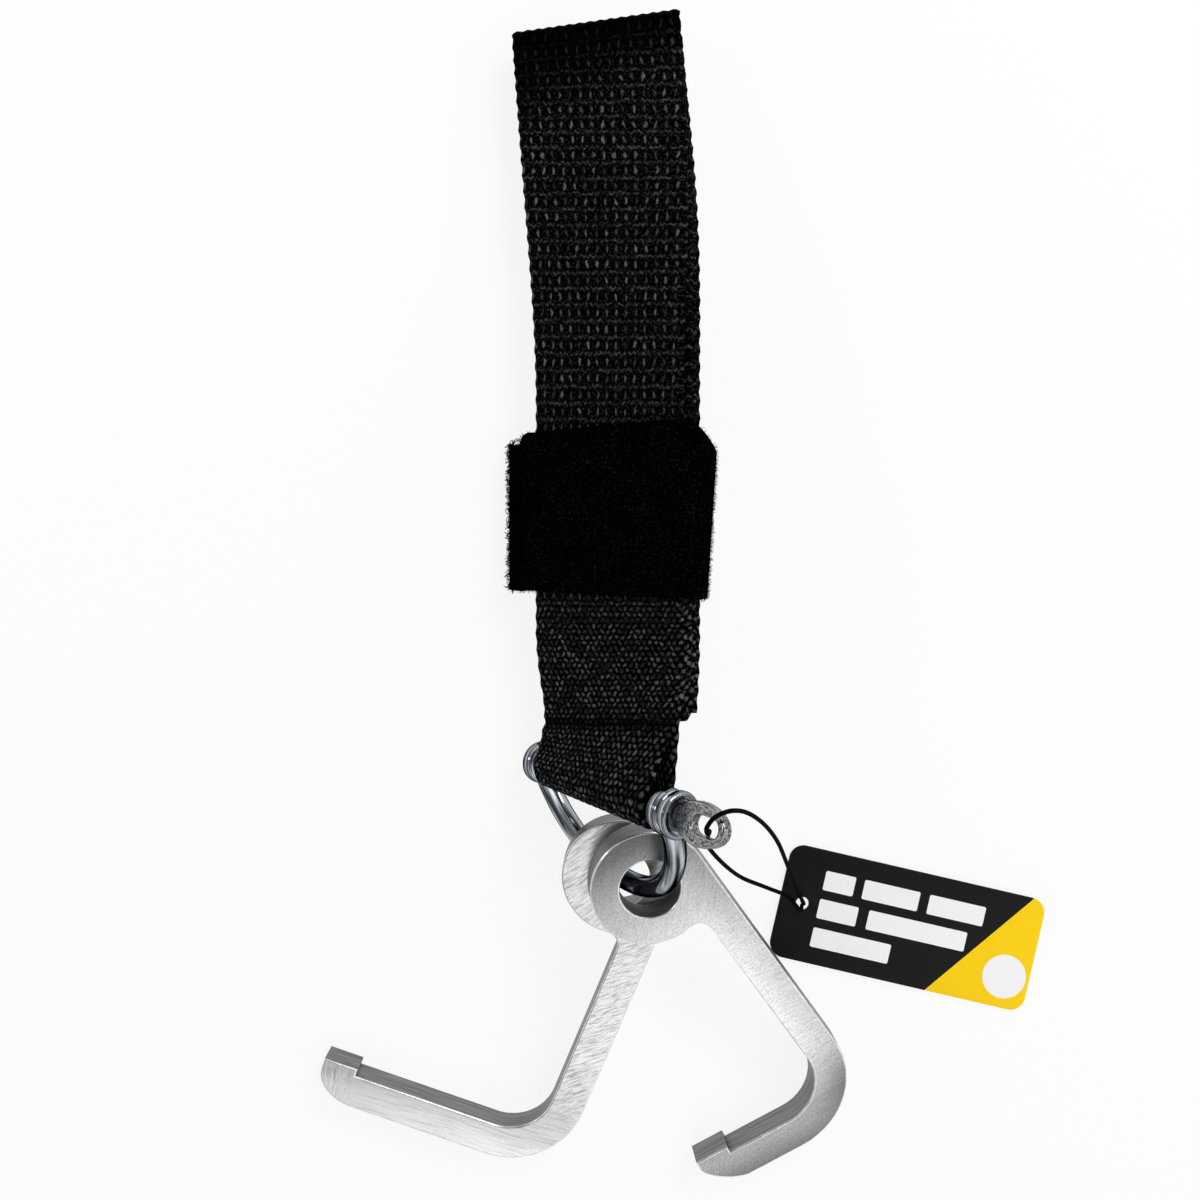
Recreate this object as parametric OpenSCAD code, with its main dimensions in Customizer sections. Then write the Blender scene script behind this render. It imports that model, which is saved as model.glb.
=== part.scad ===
// Manhole cover lifter: a folded lifting sling on a shackle that carries two flat hooks.
// It lies on its back. X is to the right, Y runs from the hooks to the sling's top fold, Z is up.
// Lengths are in mm, and the origin is on the floor under the middle of the object.

/* [Sling webbing] */
// width of the woven webbing
webbing_w = 50; // [40:1:60]
// thickness of one ply
webbing_t = 1.8; // [1.4:0.1:2.2]
// free room between two plies that lie on each other
ply_gap = 0.5; // [0.45:0.05:0.8]
// length of the folded bundle, from the pin to the top fold
bundle_len = 224; // [200:2:250]
// length of the sewn tail behind the front ply
tail_len = 78; // [74:1:86]
// where the sewn eye closes, from the pin
eye_close = 20; // [18:1:24]
// how much lower the hand loop's fold ends than the top fold
second_fold_drop = 4; // [2:0.5:8]

/* [Wrap] */
// width of the hook-and-loop strip along the bundle
wrap_w = 49; // [40:1:54]
// thickness of the strip
wrap_t = 1.6; // [1.2:0.1:2]
// where the strip starts, from the pin
wrap_start = 52; // [48:1:56]
// how far the strip's ends stand out past the bundle as a pull tab
wrap_tab = 7.5; // [6:0.5:14]
// how far the flap stops short of the back tab
flap_short = 3; // [2:0.5:5]
// corner radius of the flap
flap_corner_r = 4; // [2:0.5:8]

/* [Shackle] */
// diameter of the bow's rod
rod_d = 6.2; // [5:0.1:7]
// straight leg from the pin to the start of the bow's half circle
leg_len = 4; // [2:0.5:8]
// diameter of the pin
pin_d = 7.8; // [6:0.2:9]
// diameter of the ears
ear_d = 12.6; // [11:0.2:15]
// diameter of the pin's collar
collar_d = 13; // [11:0.2:16]
// thickness of the pin's collar
collar_t = 2.4; // [1.5:0.1:4]
// height of the pin's eye tab
tab_h = 11.4; // [10:0.2:14]
// length of the eye tab past the collar
tab_len = 17; // [15:0.5:20]
// thickness of the eye tab
tab_t = 3; // [2:0.2:4]
// width of the slot in the eye tab
slot_w = 5; // [4:0.2:6]
// length of the slot in the eye tab
slot_len = 9.6; // [8:0.2:10.4]

/* [Hooks] */
// thickness of the hook plates
plate_t = 8; // [6:0.2:9]
// outside diameter of the eye
eye_d = 34; // [32:0.5:38]
// width of the bar that the arm and toe are cut from
bar_w = 9.8; // [8:0.2:11]
// inside radius of the bend
bend_r = 14; // [10:0.5:18]
// distance from the eye's centre to the outer edge of the long hook's toe
long_reach = 95; // [88:1:104]
// length of the long hook's toe, from the arm's outer edge
long_toe = 77; // [66:1:86]
// distance from the eye's centre to the outer edge of the short hook's toe
short_reach = 98; // [90:1:106]
// length of the short hook's toe, from the arm's outer edge
short_toe = 57; // [52:1:68]
// length of the lip at the nose
lip_len = 10.4; // [8:0.2:13]
// height of the lip over the toe
lip_h = 2.2; // [1.4:0.1:3]
// radius of the fillet between eye and arm
notch_r = 4; // [3:0.5:6]

/* [Tag] */
// length of the swing tag
tag_len = 80; // [70:1:90]
// width of the swing tag
tag_w = 35; // [30:1:40]
// thickness of the swing tag
tag_t = 1; // [0.8:0.1:1.4]
// corner radius of the swing tag
tag_corner_r = 4.5; // [3:0.5:7]
// diameter of the cord
cord_d = 1.2; // [1:0.1:1.6]

/* [Pose at rest] */
// rise of the pin from its foot to its eye, in degrees
pin_rise = 52; // [46:1:56]
// turn of the pin away from the X axis, in degrees
pin_yaw = 10; // [6:1:14]
// turn of the bow about the pin, in degrees
bow_dip = 32; // [28:1:36]
// roll of the bundle where the wrap holds it, in degrees
wrap_roll = 34; // [30:1:38]
// roll of the bundle at its top, in degrees
top_roll = 8; // [4:1:14]
// turn of the bundle's top to the left, in degrees
top_yaw = 4; // [0:1:6]
// turn of the long hook's toe, in degrees
long_turn = -19; // [-26:1:-12]
// turn of the short hook's toe, in degrees
short_turn = 28; // [22:1:34]

/* [Clearances] */
// room between the shackle's legs and the webbing's edges, on each side
leg_gap = 0.8; // [0.5:0.1:1.5]
// room around the pin in the ears
pin_gap = 0.3; // [0.25:0.05:0.5]
// room between the pin and the sewn eye
eye_gap = 0.45; // [0.4:0.05:0.8]
// room between the wrap and what it holds
wrap_gap = 0.5; // [0.4:0.05:0.8]
// room between the rod and the edge of a hook's hole
hole_gap = 0.7; // [0.6:0.05:1]
// room between pieces that move on each other
move_gap = 0.35; // [0.3:0.05:0.6]
// room between the object and the floor
floor_gap = 0.2; // [0.1:0.05:0.5]

/* [Hidden] */
$fn = 48;
overrun = 1;
webbing_col = [0.07, 0.07, 0.08];
wrap_col = [0.04, 0.04, 0.05];
steel_col = [0.75, 0.75, 0.76];
plate_col = [0.62, 0.62, 0.64];
tag_col = [0.98, 0.80, 0.05];

function dir(a) = [cos(a), sin(a)];
function rot_x(v, a) = [v.x, v.y * cos(a) - v.z * sin(a), v.y * sin(a) + v.z * cos(a)];
function rot_y(v, a) = [v.x * cos(a) + v.z * sin(a), v.y, v.z * cos(a) - v.x * sin(a)];
function rot_z(v, a) = [v.x * cos(a) - v.y * sin(a), v.x * sin(a) + v.y * cos(a), v.z];
function turned(v, r) = rot_z(rot_y(rot_x(v, r.x), r.y), r.z);
function ease(u) = let (c = min(1, max(0, u))) c * c * (3 - 2 * c);
function ease_sum(u) = let (c = min(1, max(0, u))) c * c * c - c * c * c * c / 2;

// The shackle stands with its pin along local x and its crown along local -y.
ear_t = rod_d;
bow_r = (webbing_w + 2 * leg_gap + ear_t) / 2;
pin_turn = [0, -pin_rise, -pin_yaw];
bow_turn = [bow_dip, -pin_rise, -pin_yaw];
pin_dir = turned([1, 0, 0], pin_turn);
bow_dir = turned([0, -1, 0], bow_turn);
// The lowest point of the bow's half circle rests on the floor.
bow_centre_z = bow_r * norm([pin_dir.z, bow_dir.z]) + rod_d / 2 + floor_gap;
pin_y = -52;
pin_mid = [0, pin_y, bow_centre_z - leg_len * bow_dir.z];
bow_centre = pin_mid + leg_len * bow_dir;
function bow_at(a, inset) = bow_centre + (bow_r - inset) * (cos(a) * bow_dir + sin(a) * pin_dir);
function bow_along(a) = cos(a) * pin_dir - sin(a) * bow_dir;

// Each hook hangs on its own place of the bow, and its toe's outer edge lies on the floor.
// The upper eye lies on the lower one, and both centres lie inside the curved rod's line.
long_at = -8;
seat_share = 1.765;
short_at = long_at + seat_share * plate_t / bow_r * 180 / PI;
seat_in = 1.2;
long_lean = -3;
short_lean = 7;
function fall(z, reach) =
  asin((z - floor_gap) / norm([reach, plate_t / 2])) - atan2(plate_t / 2, reach);
long_seat = bow_at(long_at, seat_in);
short_seat = bow_at(short_at, seat_in);
long_rot = [fall(long_seat.z, long_reach), 0, long_turn];
short_rot = [fall(short_seat.z, short_reach), 0, short_turn];
// A hole has to let the slanting rod through the plate's whole thickness.
function hole_r(along, r) = let (c = abs(along * turned([0, 0, 1], r)))
  rod_d / 2 / c + plate_t / 2 * sqrt(1 - c * c) / c + hole_gap;
hole_d = 2 * max(hole_r(bow_along(long_at), long_rot), hole_r(bow_along(short_at), short_rot));

// The bundle's own coordinates: s along it from the pin, n towards its front, w across it.
pitch = webbing_t + ply_gap;
front_n = pitch / 2;
plies_behind_tail = 3;
back_n = -front_n - plies_behind_tail * pitch - webbing_t / 2;
eye_r = pin_d / 2 + eye_gap + webbing_t / 2;
straight_lead = 8;
straight_from = wrap_start - straight_lead;
straight_to = wrap_start + wrap_w + straight_lead;
yaw_share = 0.65;
yaw_len = yaw_share * straight_from;
wrap_in_back = back_n - wrap_gap;
wrap_in_front = front_n + webbing_t / 2 + wrap_gap;
corner_r = wrap_gap + wrap_t;
function roll(s) = pin_rise + (wrap_roll - pin_rise) * ease(s / straight_from)
  + (top_roll - wrap_roll) * ease((s - straight_to) / (bundle_len - straight_to));
function yaw(s) = pin_yaw * (1 - ease(s / yaw_len))
  - top_yaw * ease((s - straight_to) / (bundle_len - straight_to));
function line_x(s) = pin_mid.x
  + tan(pin_yaw) * (min(s, yaw_len) - yaw_len * ease_sum(s / yaw_len))
  - tan(top_yaw) * (bundle_len - straight_to) * ease_sum((s - straight_to) / (bundle_len - straight_to));
// The bundle's lower edge follows the floor, and near the pin the bundle rises to it.
function rest_z(s) = webbing_w / 2 * sin(roll(s)) - back_n * cos(roll(s)) + floor_gap
  + corner_r * (1 - ease((s - straight_to) / (bundle_len - straight_to)));
function line_z(s) = rest_z(s) + (pin_mid.z - rest_z(0)) * (1 - ease(s / straight_from));
function line(s) = [line_x(s), pin_mid.y + s, line_z(s)];
function across(s) = turned([1, 0, 0], [0, -roll(s), -yaw(s)]);
function facing(s) = turned([0, 0, 1], [0, -roll(s), -yaw(s)]);
function placed(s, n, w) = line(s) + n * facing(s) + w * across(s);

// The webbing's run: tail, sewn eye round the pin, front ply, top fold, two plies inside, end.
station = 7;
fold_steps = 6;
eye_steps = 18;
second_n = front_n - 2 * pitch;
third_n = second_n - pitch;
fourth_n = third_n - pitch;
top_r = (front_n - second_n) / 2;
small_r = pitch / 2;
top_s = bundle_len - webbing_t / 2;
fold_lead = 5;
low_fold_s = eye_close + fold_lead;
second_s = top_s - second_fold_drop;
end_s = low_fold_s + small_r;
eye_open = acos(eye_r / norm([eye_close, front_n])) + atan2(front_n, eye_close);
function rise(a, b, n) = concat([[a, n]],
  [for (k = [ceil((a + overrun) / station):floor((b - overrun) / station)]) [k * station, n]], [[b, n]]);
function sink(a, b, n) = let (r = rise(b, a, n)) [for (i = [len(r) - 1:-1:0]) r[i]];
function turn(s, n, r, from, by, steps) =
  [for (i = [1:steps - 1]) [s, n] + r * dir(from + by * i / steps)];
run = concat(
  sink(tail_len, eye_close, -front_n),
  turn(0, 0, eye_r, -eye_open, 2 * eye_open - 360, eye_steps),
  rise(eye_close, top_s - top_r, front_n),
  turn(top_s - top_r, (front_n + second_n) / 2, top_r, 90, -180, fold_steps),
  sink(top_s - top_r, low_fold_s + small_r, second_n),
  turn(low_fold_s + small_r, (second_n + third_n) / 2, small_r, 90, 180, fold_steps),
  rise(low_fold_s + small_r, second_s - small_r, third_n),
  turn(second_s - small_r, (third_n + fourth_n) / 2, small_r, 90, -180, fold_steps),
  sink(second_s - small_r, end_s, fourth_n));
run_last = len(run) - 1;
function unit(v) = v / norm(v);
function run_side(i) = let (d = unit(run[min(i + 1, run_last)] - run[max(i - 1, 0)])) [-d.y, d.x];
run_len = [for (i = 0, l = 0; i <= run_last; l = l + norm(run[min(i + 1, run_last)] - run[i]),
  i = i + 1) l];
// The least room between two plies, on points of the run that lie apart along the webbing.
self_gap = min([for (i = [0:run_last]) for (j = [i + 1:run_last])
  if (run_len[j] - run_len[i] > 3 * pitch) norm(run[j] - run[i])]) - webbing_t;
echo(webbing_length = run_len[run_last], self_gap = self_gap);

columns = 4;
ring_n = 2 * (columns + 1);
function ring(i) = let (side = run_side(i) * webbing_t / 2, a = run[i] + side, b = run[i] - side)
  concat([for (k = [0:columns]) placed(a.x, a.y, webbing_w * (k / columns - 0.5))],
    [for (k = [columns:-1:0]) placed(b.x, b.y, webbing_w * (k / columns - 0.5))]);
function quad(i, k, up) = let (a = i * ring_n + k, b = i * ring_n + (k + 1) % ring_n,
    c = b + ring_n, d = a + ring_n)
  up ? [[a, d, c], [a, c, b]] : [[a, d, b], [d, c, b]];
strap_points = [for (i = [0:run_last]) each ring(i)];
// Plies that lie on each other are split along the same diagonals, so they stay apart.
strap_faces = concat(
  [for (i = [0:run_last - 1]) for (k = [0:ring_n - 1])
    each quad(i, k, (run[i + 1].x > run[i].x) == (k < columns))],
  [for (k = [0:columns - 1]) each let (e = ring_n - 1 - k)
    [[k, k + 1, e], [k + 1, e - 1, e]]],
  [for (k = [0:columns - 1]) each let (o = run_last * ring_n, e = ring_n - 1 - k)
    [[o + k, o + e, o + k + 1], [o + k + 1, o + e, o + e - 1]]]);

// The wrap's section: a strip round the bundle, with both ends pressed together as a tab.
wrap_bend_r = (wrap_in_front - wrap_in_back) / 2;
wrap_bend_w = webbing_w / 2 - wrap_gap;
wrap_wall_w = webbing_w / 2 + wrap_gap;
hinge_in = 6;
hinge_w = wrap_bend_w - hinge_in;
hinge_n = wrap_in_front + wrap_t / 2;
tab_top_n = wrap_in_front - move_gap;
tab_tip_w = wrap_wall_w + wrap_t + wrap_tab;
wrap_end = wrap_start + wrap_w;
wrap_turn = [90, -roll(wrap_start), -yaw(wrap_start)];

// The pin's eye, and the tag on its cord.
collar_x = bow_r + ear_t / 2 + move_gap;
tab_x = collar_x + collar_t;
tab_end_x = tab_x + tab_len;
slot_in = 1.4;
slot_x = tab_end_x - tab_h / 2 - slot_in;
slot_at = pin_mid + turned([slot_x, 0, 0], pin_turn);
tag_turn = -13;
tag_lift = cord_d / 2;
tag_hole_gap = 0.8;
tag_hole_d = 2 * (cord_d + tag_hole_gap);
tag_hole_in = 7;
tag_hole_x = 62;
tag_hole_y = -93;
tag_hole_at = [tag_hole_x, tag_hole_y, tag_lift];

// Route of the cord's loop: out of the tag's hole, up to the eye, through its slot and back.
function by_eye(x, y, z) = pin_mid + turned([slot_x + x, y, z], pin_turn);
function by_tag(x, y, z) = tag_hole_at + [x, y, z];
function between(share, v) = slot_at + (tag_hole_at - slot_at) * share + v;
rest_y = cord_d / 2 + move_gap - slot_w / 2;
strand_gap = 0.1;
strand = cord_d / 2 + strand_gap;
route = [by_tag(0, strand, 0), by_tag(0, strand, 3), between(0.8, [2.8, 1.1, 0]),
  between(0.58, [5.6, 3.1, 0]), between(0.36, [8.4, 4.4, 0]), between(0.16, [9.9, 4.4, 0]),
  between(0, [9.8, 3.5, 0]), by_eye(7.6, 6, 0.9), by_eye(5.2, 3.8, 3.4), by_eye(3.2, 0.8, 3.6),
  by_eye(2, rest_y + 0.7, 2.2), by_eye(0.4, rest_y, 0), by_eye(-2, rest_y - 0.2, -2.8),
  between(0.2, [-6, 0, 0]), between(0.38, [-7, -1, 0]), between(0.57, [-7, -1, 0]),
  between(0.76, [-5, 0, 0]), between(0.9, [-2, 0, 0]), by_tag(-1.2, -1.2, 3.4),
  by_tag(0, -strand, 0)];
cord_sides = 8;
cord_steps = 4;
function curve(p, i, u) = let (m = len(p) - 1, a = p[max(i - 1, 0)], b = p[i], c = p[i + 1],
    d = p[min(i + 2, m)])
  (2 * b + (c - a) * u + (2 * a - 5 * b + 4 * c - d) * u * u
    + (3 * b - a - 3 * c + d) * u * u * u) / 2;
cord_line = concat([for (i = [0:len(route) - 2]) for (k = [0:cord_steps - 1])
  curve(route, i, k / cord_steps)], [route[len(route) - 1]]);
cord_last = len(cord_line) - 1;
function cord_along(i) = unit(cord_line[min(i + 1, cord_last)] - cord_line[max(i - 1, 0)]);
function carried(v, t) = unit(v - t * (v * t));
cord_side = [for (i = 0, v = carried([0, 1, 0], cord_along(0)); i <= cord_last;
  i = i + 1, v = carried(v, cord_along(min(i, cord_last)))) v];
cord_points = [for (i = [0:cord_last]) for (k = [0:cord_sides - 1])
  let (a = 360 * k / cord_sides, v = cord_side[i], b = cross(cord_along(i), v))
    cord_line[i] + cord_d / 2 * (cos(a) * v + sin(a) * b)];
cord_faces = concat([[for (k = [0:cord_sides - 1]) k]],
  [for (i = [0:cord_last - 1]) for (k = [0:cord_sides - 1]) let (o = i * cord_sides,
    a = o + k, b = o + (k + 1) % cord_sides) each [[a, a + cord_sides, b], [b, a + cord_sides,
    b + cord_sides]]],
  [[for (k = [cord_sides - 1:-1:0]) cord_last * cord_sides + k]]);

// The origin goes under the middle of the box of sling, shackle and hooks.
function in_hook(seat, r, p) = seat + turned([p.x, p.y, 0], r);
function bend_at(reach, lean) = let (r = bend_r + bar_w)
  [(eye_d / 2 - r - sin(lean) * (r - reach)) / cos(lean), r - reach];
function tip_x(reach, lean, toe) = (eye_d / 2 + sin(lean) * reach) / cos(lean) - toe;
long_bend = bend_at(long_reach, long_lean);
short_bend = bend_at(short_reach, short_lean);
nose_flat = 1;
nose_r = bar_w - nose_flat;
left_x = in_hook(long_seat, long_rot, [tip_x(long_reach, long_lean, long_toe), bar_w - long_reach]).x;
right_x = in_hook(short_seat, short_rot, short_bend).x + bend_r + bar_w;
top_y = placed(top_s, (front_n + second_n) / 2, webbing_w / 2).y;
low_y = in_hook(short_seat, short_rot,
  [tip_x(short_reach, short_lean, short_toe) + nose_r, nose_r - short_reach]).y - nose_r;
middle = [(left_x + right_x) / 2, (top_y + low_y) / 2, 0];
function framed(v) = v - middle;
echo(pin_mid = framed(pin_mid), pin_dir = pin_dir, bow_dir = bow_dir, middle = middle);
echo(long_seat = framed(long_seat), long_axis = turned([0, 0, 1], long_rot));
echo(short_seat = framed(short_seat), short_axis = turned([0, 0, 1], short_rot));
echo(slot_at = framed(slot_at), tag_hole = framed(tag_hole_at), hole_d = hole_d, bow_r = bow_r);
echo(flap_hinge = framed(placed(wrap_start + wrap_w / 2, hinge_n, hinge_w)),
  roll = roll(wrap_start), straight = [line(wrap_start), line(wrap_end)]);

module sling_webbing() {
  color(webbing_col) translate(-middle) polyhedron(strap_points, strap_faces, convexity = 10);
}

module along_wrap() {
  translate(framed(line(wrap_end))) rotate(wrap_turn) children();
}

module wrap_back() {
  color(wrap_col) along_wrap() linear_extrude(wrap_w) {
    translate([-webbing_w / 2, wrap_in_back - wrap_t])
      square([webbing_w / 2 + wrap_bend_w, wrap_t]);
    translate([wrap_bend_w, wrap_in_back + wrap_bend_r]) intersection() {
      difference() {
        circle(wrap_bend_r + wrap_t);
        circle(wrap_bend_r);
      }
      translate([0, -wrap_bend_r - wrap_t]) square((wrap_bend_r + wrap_t) * 2);
    }
    translate([hinge_w + wrap_t / 2 + move_gap, wrap_in_front])
      square([wrap_bend_w - hinge_w - wrap_t / 2 - move_gap, wrap_t]);
    translate([-webbing_w / 2, back_n]) intersection() {
      difference() {
        circle(corner_r);
        circle(wrap_gap);
      }
      translate([-corner_r, -corner_r]) square(corner_r);
    }
    translate([-wrap_wall_w - wrap_t, back_n]) square([wrap_t, tab_top_n - back_n]);
    translate([-tab_tip_w, tab_top_n - wrap_t]) square([tab_tip_w - wrap_wall_w, wrap_t]);
  }
}

module wrap_flap() {
  color(wrap_col) along_wrap() {
    translate([hinge_w, hinge_n, 0]) cylinder(d = wrap_t, h = wrap_w);
    translate([0, wrap_in_front + wrap_t, 0]) rotate([90, 0, 0]) linear_extrude(wrap_t) {
      translate([flap_short - tab_tip_w, flap_corner_r])
        square([hinge_w + tab_tip_w - flap_short, wrap_w - 2 * flap_corner_r]);
      translate([flap_short + flap_corner_r - tab_tip_w, 0])
        square([hinge_w + tab_tip_w - flap_short - flap_corner_r, wrap_w]);
      for (z = [flap_corner_r, wrap_w - flap_corner_r])
        translate([flap_short + flap_corner_r - tab_tip_w, z]) circle(flap_corner_r);
    }
  }
}

module shackle_bow() {
  color(steel_col) translate(framed(pin_mid)) rotate(bow_turn) difference() {
    union() {
      translate([0, -leg_len, 0]) rotate([0, 0, 180]) rotate_extrude(angle = 180)
        translate([bow_r, 0]) circle(d = rod_d);
      for (x = [-bow_r, bow_r]) translate([x, 0, 0]) {
        rotate([90, 0, 0]) cylinder(d = rod_d, h = leg_len);
        rotate([0, 90, 0]) cylinder(d = ear_d, h = ear_t, center = true);
      }
    }
    for (x = [-bow_r, bow_r]) translate([x, 0, 0]) rotate([0, 90, 0])
      cylinder(d = pin_d + 2 * pin_gap, h = ear_t + 2 * overrun, center = true);
  }
}

module shackle_pin() {
  color(steel_col) translate(framed(pin_mid)) rotate(pin_turn) {
    translate([-bow_r - ear_t / 2, 0, 0]) rotate([0, 90, 0])
      cylinder(d = pin_d, h = collar_x + bow_r + ear_t / 2);
    translate([collar_x, 0, 0]) rotate([0, 90, 0]) cylinder(d = collar_d, h = collar_t);
    translate([0, 0, -tab_t / 2]) linear_extrude(tab_t) difference() {
      union() {
        translate([tab_x - collar_t / 2, -tab_h / 2])
          square([tab_len - tab_h / 2 + collar_t / 2, tab_h]);
        translate([tab_end_x - tab_h / 2, 0]) circle(d = tab_h);
      }
      for (x = [slot_w - slot_len, slot_len - slot_w]) translate([slot_x + x / 2, 0])
        circle(d = slot_w);
      translate([slot_x, 0]) square([slot_len - slot_w, slot_w], center = true);
    }
  }
}

// Outline of a hook with its eye at the origin and its toe along -x.
module hook_outline(reach, lean, toe) {
  bend = bend_at(reach, lean);
  out_r = bend_r + bar_w;
  tip = tip_x(reach, lean, toe);
  arm_len = bend * [sin(lean), -cos(lean)];
  inner_w = eye_d / 2 - bar_w;
  notch_w = inner_w - notch_r;
  notch_at = [notch_w, -sqrt(pow(eye_d / 2 + notch_r, 2) - pow(notch_w, 2))];
  rotate(lean) {
    circle(d = eye_d);
    translate([inner_w, -arm_len]) square([bar_w, arm_len]);
    difference() {
      polygon([[0, 0], notch_at, [inner_w + bar_w / 2, notch_at.y]]);
      translate(notch_at) circle(notch_r);
    }
  }
  translate(bend) intersection() {
    difference() {
      circle(out_r);
      circle(bend_r);
    }
    polygon([[0, 0], 2 * out_r * dir(lean), 2 * out_r * dir((lean - 90) / 2), 2 * out_r * dir(-90)]);
  }
  translate([tip + nose_r, -reach]) square([bend.x - tip - nose_r, bar_w]);
  translate([tip + nose_r, nose_r - reach]) intersection() {
    circle(nose_r);
    translate([-nose_r, -nose_r]) square(nose_r);
  }
  translate([tip, nose_r - reach]) square([lip_len, bar_w + lip_h - nose_r]);
}

module hook(seat, r, reach, lean, toe) {
  color(plate_col) translate(framed(seat)) rotate(r) translate([0, 0, -plate_t / 2])
    linear_extrude(plate_t) difference() {
      hook_outline(reach, lean, toe);
      circle(d = hole_d);
    }
}

module long_hook() {
  hook(long_seat, long_rot, long_reach, long_lean, long_toe);
}

module short_hook() {
  hook(short_seat, short_rot, short_reach, short_lean, short_toe);
}

module tag_card() {
  color(tag_col) translate(framed(tag_hole_at)) rotate([0, 0, tag_turn]) linear_extrude(tag_t)
    difference() {
      translate([-tag_hole_in, -tag_w / 2]) {
        translate([tag_corner_r, 0]) square([tag_len - 2 * tag_corner_r, tag_w]);
        translate([0, tag_corner_r]) square([tag_len, tag_w - 2 * tag_corner_r]);
        for (x = [tag_corner_r, tag_len - tag_corner_r]) for (y = [tag_corner_r, tag_w - tag_corner_r])
          translate([x, y]) circle(tag_corner_r);
      }
      circle(d = tag_hole_d);
    }
}

module tag_cord() {
  color(webbing_col) translate(-middle) polyhedron(cord_points, cord_faces, convexity = 6);
}

sling_webbing();
wrap_back();
wrap_flap();
shackle_bow();
shackle_pin();
long_hook();
short_hook();
tag_card();
tag_cord();
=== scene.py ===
import math
from functools import partial

import bmesh
import bpy
import numpy as np
from mathutils import Euler, Matrix, Vector
from mathutils.geometry import tessellate_polygon


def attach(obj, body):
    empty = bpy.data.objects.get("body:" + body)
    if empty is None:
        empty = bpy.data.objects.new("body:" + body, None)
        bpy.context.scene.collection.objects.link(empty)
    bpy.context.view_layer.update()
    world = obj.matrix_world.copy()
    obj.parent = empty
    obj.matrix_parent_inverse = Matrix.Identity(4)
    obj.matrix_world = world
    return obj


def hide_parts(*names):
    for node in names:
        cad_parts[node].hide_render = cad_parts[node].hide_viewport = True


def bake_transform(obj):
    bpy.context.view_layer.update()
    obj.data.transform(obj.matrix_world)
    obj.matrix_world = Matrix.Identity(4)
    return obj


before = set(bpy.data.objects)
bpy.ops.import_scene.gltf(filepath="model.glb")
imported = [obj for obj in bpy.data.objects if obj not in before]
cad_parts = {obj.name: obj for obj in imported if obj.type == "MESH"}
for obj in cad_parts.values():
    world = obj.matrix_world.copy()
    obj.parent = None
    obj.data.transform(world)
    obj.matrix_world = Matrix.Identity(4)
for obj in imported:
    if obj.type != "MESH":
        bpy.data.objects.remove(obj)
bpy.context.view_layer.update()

# Sling: one length of black polyester webbing, 50 mm wide, folded into a flat bundle of plies.
# Its tail is sewn behind the front ply, so that the front ply turns round the pin as an eye.
# The bundle lies on its back edge and untwists from the pin up to the top fold.
mm = 0.001
webbing_w, webbing_t, ply_gap = 50, 1.8, 0.5
bundle_len, tail_len, eye_close, second_fold_drop = 224, 78, 20, 4
pin_d, eye_gap = 7.8, 0.45
wrap_w, wrap_t, wrap_gap, wrap_start = 49, 1.6, 0.5, 52
floor_gap, straight_lead, yaw_share = 0.2, 8, 0.65
pin_mid = np.array([4.81985, -51.1183, 29.2532])
pin_rise, pin_yaw, wrap_roll, top_roll, top_yaw = map(math.radians, (52, 10, 34, 8, 4))
pitch = webbing_t + ply_gap
front_n, second_n, third_n, fourth_n = (pitch * k for k in (0.5, -1.5, -2.5, -3.5))
back_n = fourth_n - webbing_t / 2
straight_from, straight_to = wrap_start - straight_lead, wrap_start + wrap_w + straight_lead


def ease(u):
    c = np.clip(u, 0, 1)
    return c * c * (3 - 2 * c)


def ease_sum(u):
    c = np.clip(u, 0, 1)
    return c**3 - c**4 / 2


def placed(s, n, w):
    """Points of the bundle in mm: s along it from the pin, n towards its front, w across it."""
    s, n, w = np.broadcast_arrays(*(np.asarray(a, float) for a in (s, n, w)))
    yaw_len, top_len = yaw_share * straight_from, bundle_len - straight_to
    low, top = ease(s / straight_from), ease((s - straight_to) / top_len)
    roll = pin_rise + (wrap_roll - pin_rise) * low + (top_roll - wrap_roll) * top
    yaw = pin_yaw * (1 - ease(s / yaw_len)) - top_yaw * top

    def rest(r, t):
        edge = webbing_w / 2 * np.sin(r) - back_n * np.cos(r)
        return edge + floor_gap + (wrap_gap + wrap_t) * (1 - t)

    x = pin_mid[0] - math.tan(top_yaw) * top_len * ease_sum((s - straight_to) / top_len)
    x = x + math.tan(pin_yaw) * (np.minimum(s, yaw_len) - yaw_len * ease_sum(s / yaw_len))
    z = rest(roll, top) + (pin_mid[2] - rest(pin_rise, 0)) * (1 - low)
    line = np.stack([x, pin_mid[1] + s, z], -1)
    cr, sr, cy, sy = np.cos(roll), np.sin(roll), np.cos(yaw), np.sin(yaw)
    across = np.stack([cr * cy, -cr * sy, sr], -1)
    facing = np.stack([-sr * cy, sr * sy, cr], -1)
    return line + n[..., None] * facing + w[..., None] * across


def arc(x, y, r, start, end, count=24):
    a = np.radians(np.linspace(start, end, count + 1))
    return np.stack([x + r * np.cos(a), y + r * np.sin(a)], -1)


def so_far(points):
    return np.concatenate([[0], np.cumsum(np.linalg.norm(np.diff(points, axis=0), axis=1))])


def unit(vectors):
    return vectors / np.linalg.norm(vectors, axis=1)[:, None]


def spaced(points, step):
    """The same line with its points about one step apart, and its length so far at each."""
    points = np.asarray(points, float)
    far = so_far(points)
    at = np.linspace(0, far[-1], round(far[-1] / step) + 1)
    return np.stack([np.interp(at, far, c) for c in points.T], -1), at


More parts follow.
